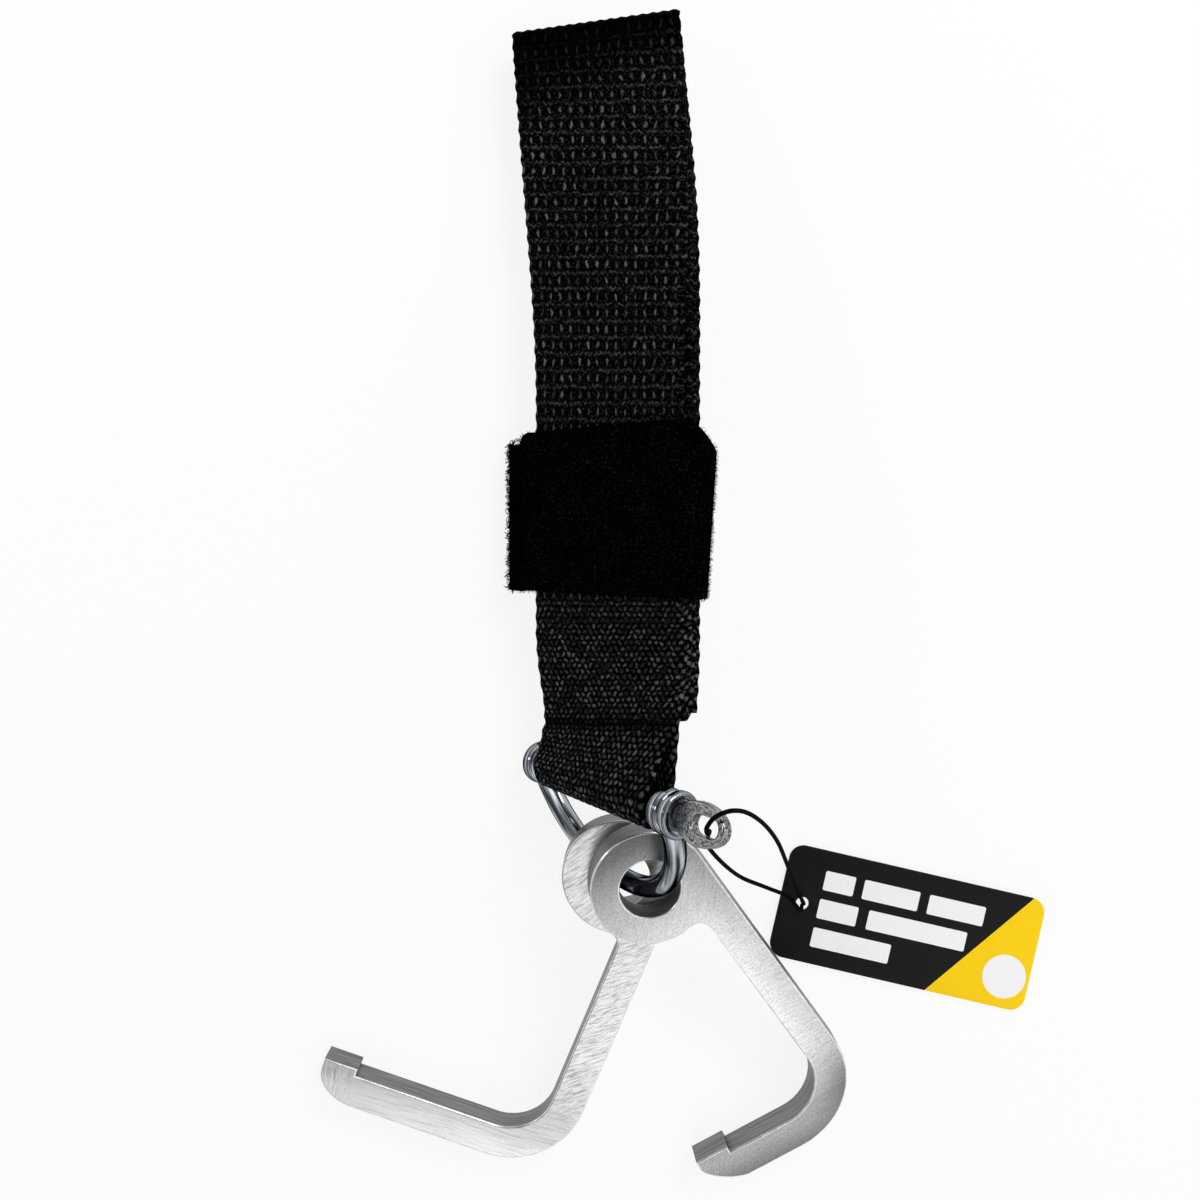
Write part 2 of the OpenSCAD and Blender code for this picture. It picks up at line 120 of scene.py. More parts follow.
eye_r = pin_d / 2 + eye_gap + webbing_t / 2
eye_open = math.degrees(math.acos(eye_r / math.hypot(eye_close, front_n)) + math.atan2(front_n, eye_close))
low_fold_gap, fine_step, mesh_step = 0.5, 0.25, 1.25
top_s, top_r, small_r, low_fold_s = bundle_len - webbing_t / 2, pitch, pitch / 2, eye_close + low_fold_gap
second_s = top_s - second_fold_drop
run, _ = spaced(np.vstack([
    [[tail_len, -front_n], [eye_close, -front_n]],
    arc(0, 0, eye_r, -eye_open, eye_open - 360, 48),
    [[eye_close, front_n]],
    arc(top_s - top_r, (front_n + second_n) / 2, top_r, 90, -90),
    arc(low_fold_s + small_r, (second_n + third_n) / 2, small_r, 90, 270),
    arc(second_s - small_r, (third_n + fourth_n) / 2, small_r, 90, -90),
    [[low_fold_s + small_r, fourth_n]]]), fine_step)
# The two kinks where the eye closes are eased, because woven cloth bends there in a wide curve.
kink_len, kink_half, kink_rounds = 4, 2.2, 80
kink = np.where((abs(run[:, 0] - eye_close) < kink_len) & (abs(run[:, 1]) < kink_half))[0]
for _ in range(kink_rounds):
    run[kink] = (run[kink - 1] + run[kink + 1]) / 2
run, along = spaced(run, mesh_step)
way = unit(np.gradient(run, axis=0))
side = np.stack([-way[:, 1], way[:, 0]], -1)

cord_count, points_per_cord, edge_round, edge_thin = 16, 4, 1.2, 0.8
cord_pitch = webbing_w / cord_count
width = np.linspace(-webbing_w / 2, webbing_w / 2, points_per_cord * cord_count + 1)
edge = np.clip((abs(width) - webbing_w / 2 + edge_round) / edge_round, 0, 1)
half = webbing_t / 2 * np.sqrt(1 - edge_thin * edge**2)

# Sewing rows on the front ply, as (s, w): a seam that closes the eye, and a box with a cross above it.
seam_s, seam_slant, seam_half, box_low, box_high, box_side = 16.9, 0.11, 23, 20, 46, 20.5
seam_deep, seam_wide, row_deep, row_wide = 0.75, 1.3, 0.32, 0.8
a, b, c, d = (box_low, -box_side), (box_high, -box_side), (box_high, box_side), (box_low, box_side)
sewing = [[(seam_s - seam_half * seam_slant, -seam_half), (seam_s + seam_half * seam_slant, seam_half)],
          [a, b], [d, c], [b, c], [d, a], [a, c], [d, b]]


def sewn_dent(s, w):
    """How far the front ply is pulled in by the sewing, in mm."""
    deep = seam_deep * np.exp(-((s - seam_s - w * seam_slant) / seam_wide) ** 2)
    for a, b in sewing[1:]:
        a, b = np.array(a), np.array(b)
        t = np.clip(((s - a[0]) * (b - a)[0] + (w - a[1]) * (b - a)[1]) / ((b - a) @ (b - a)), 0, 1)
        off = np.hypot(s - a[0] - t * (b - a)[0], w - a[1] - t * (b - a)[1])
        deep = np.maximum(deep, row_deep * np.exp(-((off / row_wide) ** 2)))
    return deep


on_front, sewn_from, sewn_past = 0.5, 8, 4
front = (run[:, 1] > on_front) & (run[:, 0] > sewn_from) & (run[:, 0] < box_high + sewn_past)
dent = np.where(front[:, None], sewn_dent(run[:, :1], width[None, :]), 0)
# The weft lies askew on the front ply, most in the middle of its length.
askew_at = (-6, 5, 15, 30, 45, 110, 130, 150, 190, 208, 220)
askew_slope = (0, -0.12, -0.13, -0.042, -0.012, 0.102, 0.136, 0.159, 0.16, 0.1, 0)
askew = np.interp(run[:, 0], askew_at, askew_slope)
askew = np.where((run[:, 1] > on_front) & (along > tail_len), askew, 0)
weft = along[:, None] + askew[:, None] * width[None, :]
faces_of_ply = []
for up in (1, -1):
    spot = run[:, None, :] + (up * half)[None, :, None] * side[:, None, :]
    faces_of_ply.append(placed(spot[..., 0], spot[..., 1] - dent, width[None, :] + 0 * spot[..., 0]))


def strip(top, bottom, u, v):
    """A closed strip between two grids of points, with u across and v along as its pattern's place."""
    rows, cols = top.shape[:2]
    i = np.arange(rows * cols).reshape(rows, cols)
    j = i + rows * cols
    faces = []
    for g in (i, j):
        faces += np.stack([g[:-1, :-1], g[1:, :-1], g[1:, 1:], g[:-1, 1:]], -1).reshape(-1, 4).tolist()
    for c in (0, cols - 1):
        faces += np.stack([i[:-1, c], i[1:, c], j[1:, c], j[:-1, c]], -1).tolist()
    for r in (0, rows - 1):
        faces += np.stack([i[r, :-1], i[r, 1:], j[r, 1:], j[r, :-1]], -1).tolist()
    place = np.stack(np.broadcast_arrays(u, v), -1).reshape(-1, 2)
    corners = np.array(faces).ravel() % (rows * cols)
    return np.vstack([top.reshape(-1, 3), bottom.reshape(-1, 3)]), faces, 0, place[corners]


def shown(name, data):
    """An object of this mesh, lamp or camera, put in the scene."""
    obj = bpy.data.objects.new(name, data)
    bpy.context.scene.collection.objects.link(obj)
    return obj


def build(name, shells, materials, place=Matrix.Identity(4), sharp=40):
    """One object from closed shells in mm: (points, faces, material slot or slots, uv of each corner)."""
    points, faces, slots, places = [], [], [], []
    for shell_points, shell_faces, shell_slots, uv in shells:
        start = len(points)
        points += np.asarray(shell_points, float).tolist()
        faces += [[start + k for k in f] for f in shell_faces]
        slots += [shell_slots] * len(shell_faces) if isinstance(shell_slots, int) else list(shell_slots)
        places += [(0, 0)] * sum(map(len, shell_faces)) if uv is None else np.asarray(uv).tolist()
    mesh = bpy.data.meshes.new(name)
    mesh.from_pydata(points, [], faces)
    mesh.uv_layers.new(name="lay").data.foreach_set("uv", np.array(places, float).ravel())
    mesh.polygons.foreach_set("material_index", slots)
    mesh.transform(Matrix.Diagonal((mm, mm, mm, 1)) @ place)
    bm = bmesh.new()
    bm.from_mesh(mesh)
    bmesh.ops.recalc_face_normals(bm, faces=bm.faces)
    bm.to_mesh(mesh)
    bm.free()
    mesh.shade_smooth()
    mesh.set_sharp_from_angle(angle=math.radians(sharp))
    for m in materials:
        mesh.materials.append(m)
    return shown(name, mesh)


def put(tree, kind, settings=None, **sockets):
    """A node with its settings, its sockets set or linked by name, or by place as i0, i1, i2."""
    node = tree.nodes.new(kind)
    for key, value in (settings or {}).items():
        setattr(node, key, value)
    for key, value in sockets.items():
        socket = node.inputs[int(key[1:])] if key[1:].isdigit() else node.inputs[key.replace("_", " ")]
        if isinstance(value, bpy.types.NodeSocket):
            tree.links.new(value, socket)
        else:
            socket.default_value = value
    return node.outputs


def calc(operation, *values):
    """One step of arithmetic, in the node tree of the first of its values that is linked."""
    tree = next(v.id_data for v in values if isinstance(v, bpy.types.NodeSocket))
    return put(tree, "ShaderNodeMath", {"operation": operation},
               **{f"i{k}": v for k, v in enumerate(values)})[0]


plus, minus, times, over, most, times_plus = (
    partial(calc, word) for word in ("ADD", "SUBTRACT", "MULTIPLY", "DIVIDE", "MAXIMUM", "MULTIPLY_ADD"))


def parts_of(vector):
    return put(vector.id_data, "ShaderNodeSeparateXYZ", i0=vector)


def lay_of(tree):
    return put(tree, "ShaderNodeUVMap", {"uv_map": "lay"})[0]


def noise(where, scale, detail, rough=0.5):
    """A noise over a place, with one scale, or with one along each axis."""
    if isinstance(scale, tuple):
        where, scale = put(where.id_data, "ShaderNodeMapping", Vector=where, Scale=scale)[0], 1
    return put(where.id_data, "ShaderNodeTexNoise", Vector=where, Scale=scale, Detail=detail,
               Roughness=rough)[0]


def shader(name, **constants):
    """A material with one principled shader, and its tree and that shader node."""
    material = bpy.data.materials.new(name)
    material.use_nodes = True
    node = material.node_tree.nodes["Principled BSDF"]
    for key, value in constants.items():
        node.inputs[key.replace("_", " ")].default_value = value
    return material, material.node_tree, node


def ramp(value, *stops):
    """A colour ramp over value, with stops of (place, grey or colour)."""
    node = value.id_data.nodes.new("ShaderNodeValToRGB")
    value.id_data.links.new(value, node.inputs[0])
    for k, (at, colour) in enumerate(stops):
        e = node.color_ramp.elements[k] if k < 2 else node.color_ramp.elements.new(at)
        e.position = at
        e.color = (*((colour,) * 3 if isinstance(colour, (int, float)) else colour), 1)
    return node.outputs[0]


def tint(node, value, *stops, socket="Base Color"):
    """Gives a shader its colour, or another of its sockets, by a ramp over value."""
    node.id_data.links.new(ramp(value, *stops), node.inputs[socket])


def bump(node, height, strength, depth):
    """Gives a shader its relief from a height, with its depth in mm."""
    relief = put(node.id_data, "ShaderNodeBump", Strength=strength, Distance=depth * mm, Height=height)
    node.id_data.links.new(relief["Normal"], node.inputs["Normal"])


# The slack weave shows long warp floats in rows, and a wavy line of weft between them.
# Where the sewing draws it tight, the floats are short knuckles that lie like bricks.
pick, weft_wave, weft_half = 4.75, 0.3, 0.85
float_half, float_lean = (0.54, 1.3), 0.3
brick, brick_half, brick_lean = (2.0, 3.2), (0.76, 0.72), 0.6
webbing_cloth, tree, cloth = shader("webbing_cloth", Specular_IOR_Level=0.008)
lay = lay_of(tree)
waver = put(tree, "ShaderNodeTexNoise", Vector=lay, Scale=0.42, Detail=2)[1]
waver = put(tree, "ShaderNodeVectorMath", {"operation": "MULTIPLY_ADD"},
            i0=waver, i1=(1.9, 1.9, 0), i2=lay)[0]
uv = parts_of(waver)


def floats(wide, tall, shift, half_u, half_v, most_lean):
    """Rounded yarn floats, one in each cell of the weave: their height, and their painted sheen, of random
    strength for each.
    """
    u = plus(over(uv[0], wide), shift)
    v = plus(over(uv[1], tall), shift)
    cell = put(tree, "ShaderNodeCombineXYZ", i0=calc("FLOOR", u), i1=calc("FLOOR", v), i2=shift)[0]
    chance, colour = put(tree, "ShaderNodeTexWhiteNoise", {"noise_dimensions": "3D"}, Vector=cell)
    lean = put(tree, "ShaderNodeSeparateColor", i0=colour)[1]
    lean = times(minus(lean, 0.5), most_lean)
    dv = times(minus(calc("FRACT", v), 0.5), tall)
    du = times(minus(calc("FRACT", u), 0.5), wide)
    du = over(times_plus(dv, lean, du), half_u)
    dv = over(times_plus(du, times(lean, half_u), dv), half_v)
    off = plus(times(du, du), times(dv, dv))
    dome = calc("SQRT", most(minus(1, off), 0))
    return dome, times(dome, times_plus(chance, 0.6, 0.42))


def blended(share, a, b):
    return put(tree, "ShaderNodeMix", {"data_type": "FLOAT"}, i0=share, i2=a, i3=b)[0]


long_dome, long_painted_sheen = floats(cord_pitch, pick, 0, *float_half, float_lean)
swing = calc("SINE", times(uv[0], 4 * math.pi / cord_pitch))
line_v = plus(over(times_plus(swing, weft_wave, uv[1]), pick), 0.5)
line_off = calc("ABSOLUTE", minus(calc("FRACT", line_v), 0.5))
weft_line = most(times_plus(line_off, -pick / weft_half, 1), 0)
weft_line = times(weft_line, ramp(noise(lay, 0.75, 2, 0.6), (0.38, 0.15), (0.6, 1)))
brick_dome, brick_painted_sheen = floats(*brick, 0, *brick_half, brick_lean)
next_dome, next_painted_sheen = floats(*brick, 0.5, *brick_half, brick_lean)
tight, dent_shade, pressed = (put(tree, "ShaderNodeAttribute", {"attribute_name": name})["Fac"]
                        for name in ("tight", "dent_shade", "pressed"))
fleck = ramp(noise(lay, 1.5, 2, 0.6), (0.52, 0), (0.78, 0.75))
slack_painted_sheen = most(long_painted_sheen, most(times(weft_line, 0.72), fleck))
tight_painted_sheen = most(times(most(brick_painted_sheen, next_painted_sheen), 0.85), times(fleck, 0.5))
yarn = noise(lay, (3.2, 1.6, 1), 3, 0.65)
glow = blended(tight, slack_painted_sheen, tight_painted_sheen)
# Painted shade dims the painted sheen in the sewing dents and near the top fold.
for value, share, start in ((yarn, 1.7, 0.1), (dent_shade, -0.8, 1), (pressed, -0.85, 1)):
    glow = times(glow, times_plus(value, share, start))
# Base colour: the lighter floats, weft lines and flecks are painted sheen on black cloth.
tint(cloth, glow, (0.05, 0.0002), (0.4, 0.018), (1, 0.14))
tint(cloth, glow, (0, 0.75), (1, 0.42), socket="Roughness")
height = blended(tight, most(long_dome, times(weft_line, 0.6)), most(brick_dome, next_dome))
bump(cloth, times_plus(yarn, 0.3, height), 0.9, 0.4)


def node_tree(name, *sizes):
    """An empty geometry tree with named inputs for its sizes: the tree, its inputs and its end."""
    tree = bpy.data.node_groups.new(name, "GeometryNodeTree")
    for kind in ("INPUT", "OUTPUT"):
        tree.interface.new_socket("Geometry", in_out=kind, socket_type="NodeSocketGeometry")
    for size in sizes:
        tree.interface.new_socket(size, in_out="INPUT", socket_type="NodeSocketFloat")
    return tree, tree.nodes.new("NodeGroupInput").outputs, tree.nodes.new("NodeGroupOutput").inputs


def finished(end, geometry, material):
    """Ends a geometry tree: what it made becomes plain mesh in one material."""
    tree = geometry.id_data
    geometry = put(tree, "GeometryNodeRealizeInstances", Geometry=geometry)[0]
    geometry = put(tree, "GeometryNodeSetMaterial", Geometry=geometry, Material=material)[0]
    tree.links.new(geometry, end[0])


def grown(name, base, tree, **sizes):
    """The plain mesh that the tree makes from a base object, which is then dropped."""
    grow = base.modifiers.new("grow", "NODES")
    grow.node_group = tree
    for item in tree.interface.items_tree:
        if item.in_out == "INPUT" and item.name in sizes:
            grow[item.identifier] = sizes[item.name]
    mesh = bpy.data.meshes.new_from_object(base.evaluated_get(bpy.context.evaluated_depsgraph_get()))
    bpy.data.objects.remove(base)
    return shown(name, mesh)


def tag_points(obj, **values):
    """Puts named values on an object's points, one number or vector each."""
    for key, value in values.items():
        value = np.asarray(value, np.float32)
        kind, field = ("FLOAT", "value") if value.ndim == 1 else ("FLOAT_VECTOR", "vector")
        obj.data.attributes.new(key, kind, "POINT").data.foreach_set(field, value.ravel())


# The warp cords stand up as ribs, most where a fold stretches them, and the selvedge is scalloped.
ribs, size, end = node_tree("warp ribs", "cord_pitch", "scallop_pitch", "scallop")


def named(tree, name, kind="FLOAT"):
    return put(tree, "GeometryNodeInputNamedAttribute", {"data_type": kind}, Name=name)[0]


def waves(tree, attribute, length):
    turns = over(named(tree, attribute), length)
    return calc("COSINE", times(turns, 2 * math.pi))


def scaled(vector, number):
    return put(vector.id_data, "ShaderNodeVectorMath", {"operation": "SCALE"}, Vector=vector, Scale=number)[0]


rise = scaled(put(ribs, "GeometryNodeInputNormal")[0],
              times(named(ribs, "relief"), waves(ribs, "across", size["cord_pitch"])))
scallop = scaled(named(ribs, "outward", "FLOAT_VECTOR"),
                 times(size["scallop"], waves(ribs, "along", size["scallop_pitch"])))
shift = put(ribs, "ShaderNodeVectorMath", {"operation": "ADD"}, i0=rise, i1=scallop)[0]
moved = put(ribs, "GeometryNodeSetPosition", Geometry=size["Geometry"], Offset=shift)[0]
finished(end, moved, webbing_cloth)

rib_bent, rib_flat, bent_from, scallop_deep = 0.16, 0.09, 0.02, 0.25
tight_to, tight_over, fold_shade_len, fold_shade_slant = 44, 16, 28, 0.4
strap = strip(*faces_of_ply, width[None, :] + webbing_w / 2, weft)
strap = build("strap", [strap], [webbing_cloth], sharp=60)
curl = np.linalg.norm(np.gradient(way, axis=0), axis=1)
relief = np.where(curl > bent_from, rib_bent, rib_flat)[:, None] * (1 - edge)[None, :] * mm
# Near the top fold the cloth is darker and rougher, reaching further down on the left: painted shade where
# the bundle curves away.
pressed = 1 - ease((bundle_len - run[:, :1]) / (fold_shade_len - fold_shade_slant * width[None, :]))
outward = placed(run[:, :1], run[:, 1:], 1) - placed(run[:, :1], run[:, 1:], 0)
outward = outward * (np.sign(width) * edge)[None, :, None]
across = np.broadcast_to(width + cord_pitch / 2, weft.shape)
tight = np.broadcast_to(1 - ease((run[:, :1] - tight_to) / tight_over), weft.shape)
# The depth of the sewing dents also goes to the shader, where it darkens the cloth as painted shade.
on_each_face = {"relief": relief, "across": across * mm, "along": weft * mm, "tight": tight,
                "dent_shade": dent / seam_deep, "pressed": pressed}
tag_points(strap, outward=np.tile(outward.reshape(-1, 3), (2, 1)),
           **{key: np.tile(grid.ravel(), 2) for key, grid in on_each_face.items()})
strap = grown("sling_strap", strap, ribs, cord_pitch=cord_pitch * mm, scallop_pitch=pick * mm,
              scallop=scallop_deep * mm)
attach(strap, "sling")
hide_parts("sling_webbing")

# Sewing: black bonded thread in lock stitches, pulled down into the webbing.
# It closes the eye with one seam across, and holds the tail with a box that has a cross in it.
stitch, thread_d = 3.4, 0.7


def on_piece(tree):
    return put(tree, "ShaderNodeTexCoord")["Object"]


sewing_thread, tree, thread = shader("sewing_thread", Roughness=0.6, Specular_IOR_Level=0.08)
twist = put(tree, "ShaderNodeTexWave", {"bands_direction": "DIAGONAL"}, Vector=on_piece(tree),
            Scale=900, Distortion=1)[0]
tint(thread, twist, (0, 0.0006), (1, 0.006))
bump(thread, twist, 0.5, 0.1)
stitches, size, end = node_tree("lock stitches", "stitch", "thread")
path = put(stitches, "GeometryNodeMeshToCurve", Mesh=size["Geometry"])[0]
path = put(stitches, "GeometryNodeResampleCurve", {"mode": "LENGTH"}, Curve=path, Length=size["stitch"])[0]
loop = put(stitches, "GeometryNodeMeshUVSphere", Segments=8, Rings=5, Radius=0.5)[0]
loop = put(stitches, "GeometryNodeSetShadeSmooth", Geometry=loop)[0]
lie = put(stitches, "FunctionNodeAxesToRotation", {"primary_axis": "Z", "secondary_axis": "X"},
          Primary_Axis=named(stitches, "facing", "FLOAT_VECTOR"),
          Secondary_Axis=put(stitches, "GeometryNodeInputTangent")[0])[0]
full = put(stitches, "ShaderNodeCombineXYZ", i0=times(size["stitch"], 0.94),
           i1=size["thread"], i2=size["thread"])[0]
set_out = put(stitches, "GeometryNodeInstanceOnPoints", Points=path, Instance=loop, Rotation=lie,
              Scale=full)[0]
finished(end, set_out, sewing_thread)
stands_by = 0.05
points, edges, facing = [], [], []
for a, b in sewing:
    line, _ = spaced([a, b], 1)
    n = front_n + webbing_t / 2 - sewn_dent(line[:, 0], line[:, 1]) + stands_by
    edges += [(len(points) + k, len(points) + k + 1) for k in range(len(line) - 1)]
    points += (placed(line[:, 0], n, line[:, 1]) * mm).tolist()
    facing += (placed(line[:, 0], 1, line[:, 1]) - placed(line[:, 0], 0, line[:, 1])).tolist()
mesh = bpy.data.meshes.new("sewing_rows")
mesh.from_pydata(points, edges, [])
rows = shown("sewing_rows", mesh)
tag_points(rows, facing=facing)
rows = grown("sling_stitches", rows, stitches, stitch=stitch * mm, thread=thread_d * mm)
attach(rows, "sling")

# Wrap: a strip of black hook-and-loop tape that holds the bundle shut.
# It goes from a pull tab on the left round the back and the right edge, and closes over the front.
# The flap closes back over the front ply and lies flat there.
wrap_tab, flap_short, flap_corner, hinge_in, move_gap = 7.5, 5, 3.2, 6, 0.35
wrap_in_back, wrap_in_front = back_n - wrap_gap, front_n + webbing_t / 2 + wrap_gap
bend_r = (wrap_in_front - wrap_in_back) / 2
bend_w, wall_w = webbing_w / 2 - wrap_gap, webbing_w / 2 + wrap_gap
tip_w, tab_n = wall_w + wrap_t + wrap_tab, wrap_in_front - move_gap - wrap_t / 2
mid, tab_round, back_round, join_in, tape_step, tape_count = wrap_t / 2, 1.2, 0.5, 1.2, 0.8, 60
join_w = bend_w - join_in
around, reach = spaced(np.vstack([
    [[-tip_w, tab_n]], arc(-wall_w - mid - tab_round, tab_n - tab_round, tab_round, 90, 0, 6),
    arc(-webbing_w / 2 + back_round, back_n + back_round, wrap_gap + mid + back_round, 180, 270, 8),
    arc(bend_w, (wrap_in_back + wrap_in_front) / 2, bend_r + mid, -90, 90, 30),
    [[join_w, wrap_in_front + mid]]]), tape_step)
flat = [[join_w, wrap_in_front + mid], [flap_short - tip_w, wrap_in_front + mid]]
flat, flat_reach = spaced(flat, tape_step)
rim_round, rim_thin, pull_by, pull_from, pull_over = 0.9, 0.7, 3, 12, 16
cut_waver, waver_points = 0.35, 5


def tape(path, reach, low, high):
    """A strip of tape along a line of (w, n), from low to high along the bundle at each of its points."""
    d = unit(np.gradient(path, axis=0))
    out = np.stack([d[:, 1], -d[:, 0]], -1)
    share = np.linspace(0, 1, tape_count + 1)[None, :]
    s = low[:, None] * (1 - share) + high[:, None] * share
    rim = np.minimum(share, 1 - share) * (high - low)[:, None]
    half = mid * np.sqrt(1 - rim_thin * np.clip(1 - rim / rim_round, 0, 1) ** 2)
    pulled = pull_by * ease((path[:, :1] - pull_from) / pull_over) * (1 - share)
    sides = []
    for up in (1, -1):
        spot = path[:, None, :] + up * half[..., None] * out[:, None, :]
        sides.append(placed(s, spot[..., 1], spot[..., 0] - pulled))
    return strip(*sides, share * wrap_w, reach[:, None])


def ragged(reach, seed):
    """The slight waver of an edge that was cut with scissors, in mm."""
    shake = np.random.default_rng(seed).normal(0, 1, len(reach))
    return cut_waver * np.convolve(shake, np.ones(waver_points) / waver_points, "same")


wrap_tape, tree, tape_cloth = shader("wrap_tape", Roughness=0.95, Specular_IOR_Level=0.0)
here = on_piece(tree)
pile = noise(here, 1400, 4, 0.75)
patch = noise(here, 160, 2)
nap = times(pile, times_plus(patch, 0.2, 0.9))
tint(tape_cloth, nap, (0.44, 0.0001), (0.56, 0.0016), (0.72, 0.016))
bump(tape_cloth, pile, 0.9, 0.5)

# The strip is pulled round a little askew, so its upper corner droops where it turns the right edge.
wrap_end, edge_up, askew_by = wrap_start + wrap_w, 0.3, 2.8
tab_drop, drop_from, drop_over, tip_up, tip_over = 0.6, 4, 6, 0.5, 2
nick_deep, nick_at, nick_half = 1.8, 4, 2
droop_by, droop_from, droop_over, droop_eased, eased_from, eased_over = 7.9, 5.5, 11, 0.8, 22, 20


def lower_edge(w):
    return wrap_start + edge_up + askew_by * (bend_w + bend_r - w) / (bend_w + bend_r + tip_w)


before = reach[-1] - reach
low = lower_edge(around[:, 0]) + ragged(reach, 3)
high = wrap_end + ragged(reach, 4) - tab_drop * (1 - ease((reach - drop_from) / drop_over))
high = high + tip_up * (1 - ease(reach / tip_over))
high = high - nick_deep * np.exp(-(((reach - nick_at) / nick_half) ** 2))
droop = np.sin(np.pi / 2 * np.clip((before - droop_from) / droop_over, 0, 1))
high = high - droop_by * droop * (1 - droop_eased * ease((before - eased_from) / eased_over))
back = build("wrap_strip", [tape(around, reach, low, high)], [wrap_tape], sharp=60)

# The pile stands up as fine curved hairs, thick along the ends of the strip that were cut across.
pile_hairs, size, end = node_tree("pile hairs", "hair", "thick")
at, _, stand = put(pile_hairs, "GeometryNodeDistributePointsOnFaces", Mesh=size["Geometry"],
                   Density=named(pile_hairs, "shag"), Seed=7)
lean = put(pile_hairs, "FunctionNodeRandomValue", {"data_type": "FLOAT_VECTOR"},
           Min=(-0.9, -0.9, -3.1), Max=(0.9, 0.9, 3.1), Seed=3)[0]
lean = put(pile_hairs, "FunctionNodeEulerToRotation", Euler=lean)[0]
stand = put(pile_hairs, "FunctionNodeRotateRotation", {"rotation_space": "LOCAL"},
            Rotation=stand, Rotate_By=lean)[0]
bend = put(pile_hairs, "GeometryNodeCurvePrimitiveBezierSegment", Resolution=4, Start=(0, 0, 0),
           Start_Handle=(0, 0, 0.5), End_Handle=(0.2, 0, 0.9), End=(0.6, 0, 0.95))[0]
thin = over(size["thick"], size["hair"])
section = put(pile_hairs, "GeometryNodeCurvePrimitiveCircle", Resolution=3, Radius=thin)[0]
strand_mesh = put(pile_hairs, "GeometryNodeCurveToMesh", Curve=bend, Profile_Curve=section, Fill_Caps=True)[0]
longer = put(pile_hairs, "FunctionNodeRandomValue", {"data_type": "FLOAT"}, i2=0.4, i3=1.3, Seed=5)[1]
longer = times(longer, named(pile_hairs, "short"))
set_out = put(pile_hairs, "GeometryNodeInstanceOnPoints", Points=at, Instance=strand_mesh, Rotation=stand,
              Scale=times(longer, size["hair"]))[0]
finished(end, set_out, wrap_tape)
hair_len, hair_d, edge_hair, cut_end, clear_height = 1.3, 0.11, 0.55, 0.9, 2.5
cut_shag, edge_shag, face_shag = 6.1e6, 2.3e6, 1.7e5


def hairs(name, strip_piece, from_tip, near_edge):
    """The hairs of one strip: long at its cut end, and short and close along its edges and its bend."""
    grid = (len(from_tip), tape_count + 1)
    from_tip, near_edge = (np.tile(np.broadcast_to(a, grid).ravel(), 2)
                           for a in (from_tip[:, None], near_edge))
    base = shown("pile_base", strip_piece.data.copy())
    height = np.array([v.co.z for v in base.data.vertices])
    shag = np.where(from_tip < cut_end, cut_shag, np.where(near_edge, edge_shag, face_shag))
    tag_points(base, shag=np.where(height > clear_height * mm, shag, 0),
               short=np.where(from_tip < cut_end, 1, edge_hair))
    return grown(name, base, pile_hairs, hair=hair_len * mm, thick=hair_d * mm)


rim = np.isin(np.arange(tape_count + 1), (0, 1, tape_count - 1, tape_count))[None, :]
back_hairs = hairs("wrap_strip_pile", back, reach, rim | (around[:, :1] > bend_w))
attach(back_hairs, "sling")
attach(back, "sling")
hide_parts("wrap_back")

settle_over, flap_up, flap_up_over, low_corner = 6, 0.5, 13, 0.4
settled = np.clip(flat_reach / settle_over, 0, 1)
flap_low = lower_edge(flat[:, 0]) + ragged(flat_reach, 5) * settled
flap_low = flap_low + (low[-1] - lower_edge(flat[0, 0])) * (1 - settled)
flap_high = high[-1] + ragged(flat_reach, 6) * settled
flap_high = flap_high + (wrap_end + flap_up - high[-1]) * ease(flat_reach / flap_up_over)
corner = flat_reach - flat_reach[-1] + flap_corner
cut_off = flap_corner - np.sqrt(np.maximum(flap_corner**2 - np.clip(corner, 0, flap_corner) ** 2, 0))
flap = tape(flat, flat_reach, flap_low + cut_off * low_corner, flap_high - cut_off)
flap = build("wrap_flap_strip", [flap], [wrap_tape], sharp=60)
flap_hairs = hairs("wrap_flap_pile", flap, flat_reach[-1] - flat_reach, rim)
hinge_w, hinge_half = bend_w - hinge_in, 3.5
middle_s = wrap_start + wrap_w / 2
bend_from = placed(middle_s, wrap_in_front + mid, hinge_w + hinge_half) * mm
bend_to = placed(middle_s, wrap_in_front + mid, hinge_w - hinge_half) * mm
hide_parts("wrap_flap")
for piece in (flap, flap_hairs):
    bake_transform(piece)

# Shackle bow: one round stainless rod, bent to a half circle, with a flattened and drilled ear at each end.
# It is polished all over, so it mirrors the floor and the lamps.
rod_d, leg_len, ear_d, leg_gap, pin_gap, bow_dip, bow_step, rod_sides = 6.2, 4, 12.6, 0.8, 0.3, 32, 1.2, 32
ear_t = rod_d
bow_r = (webbing_w + 2 * leg_gap + ear_t) / 2


def band(faces, uv, first, second, count, across, along):
    """Adds the faces between two rings of points, and the place of their corners in the pattern."""
    for k in range(count):
        q = (k + 1) % count
        faces.append([first + k, first + q, second + q, second + k])
        uv.extend((across[a], along[b]) for a, b in ((k, 0), (k + 1, 0), (k + 1, 1), (k, 1)))


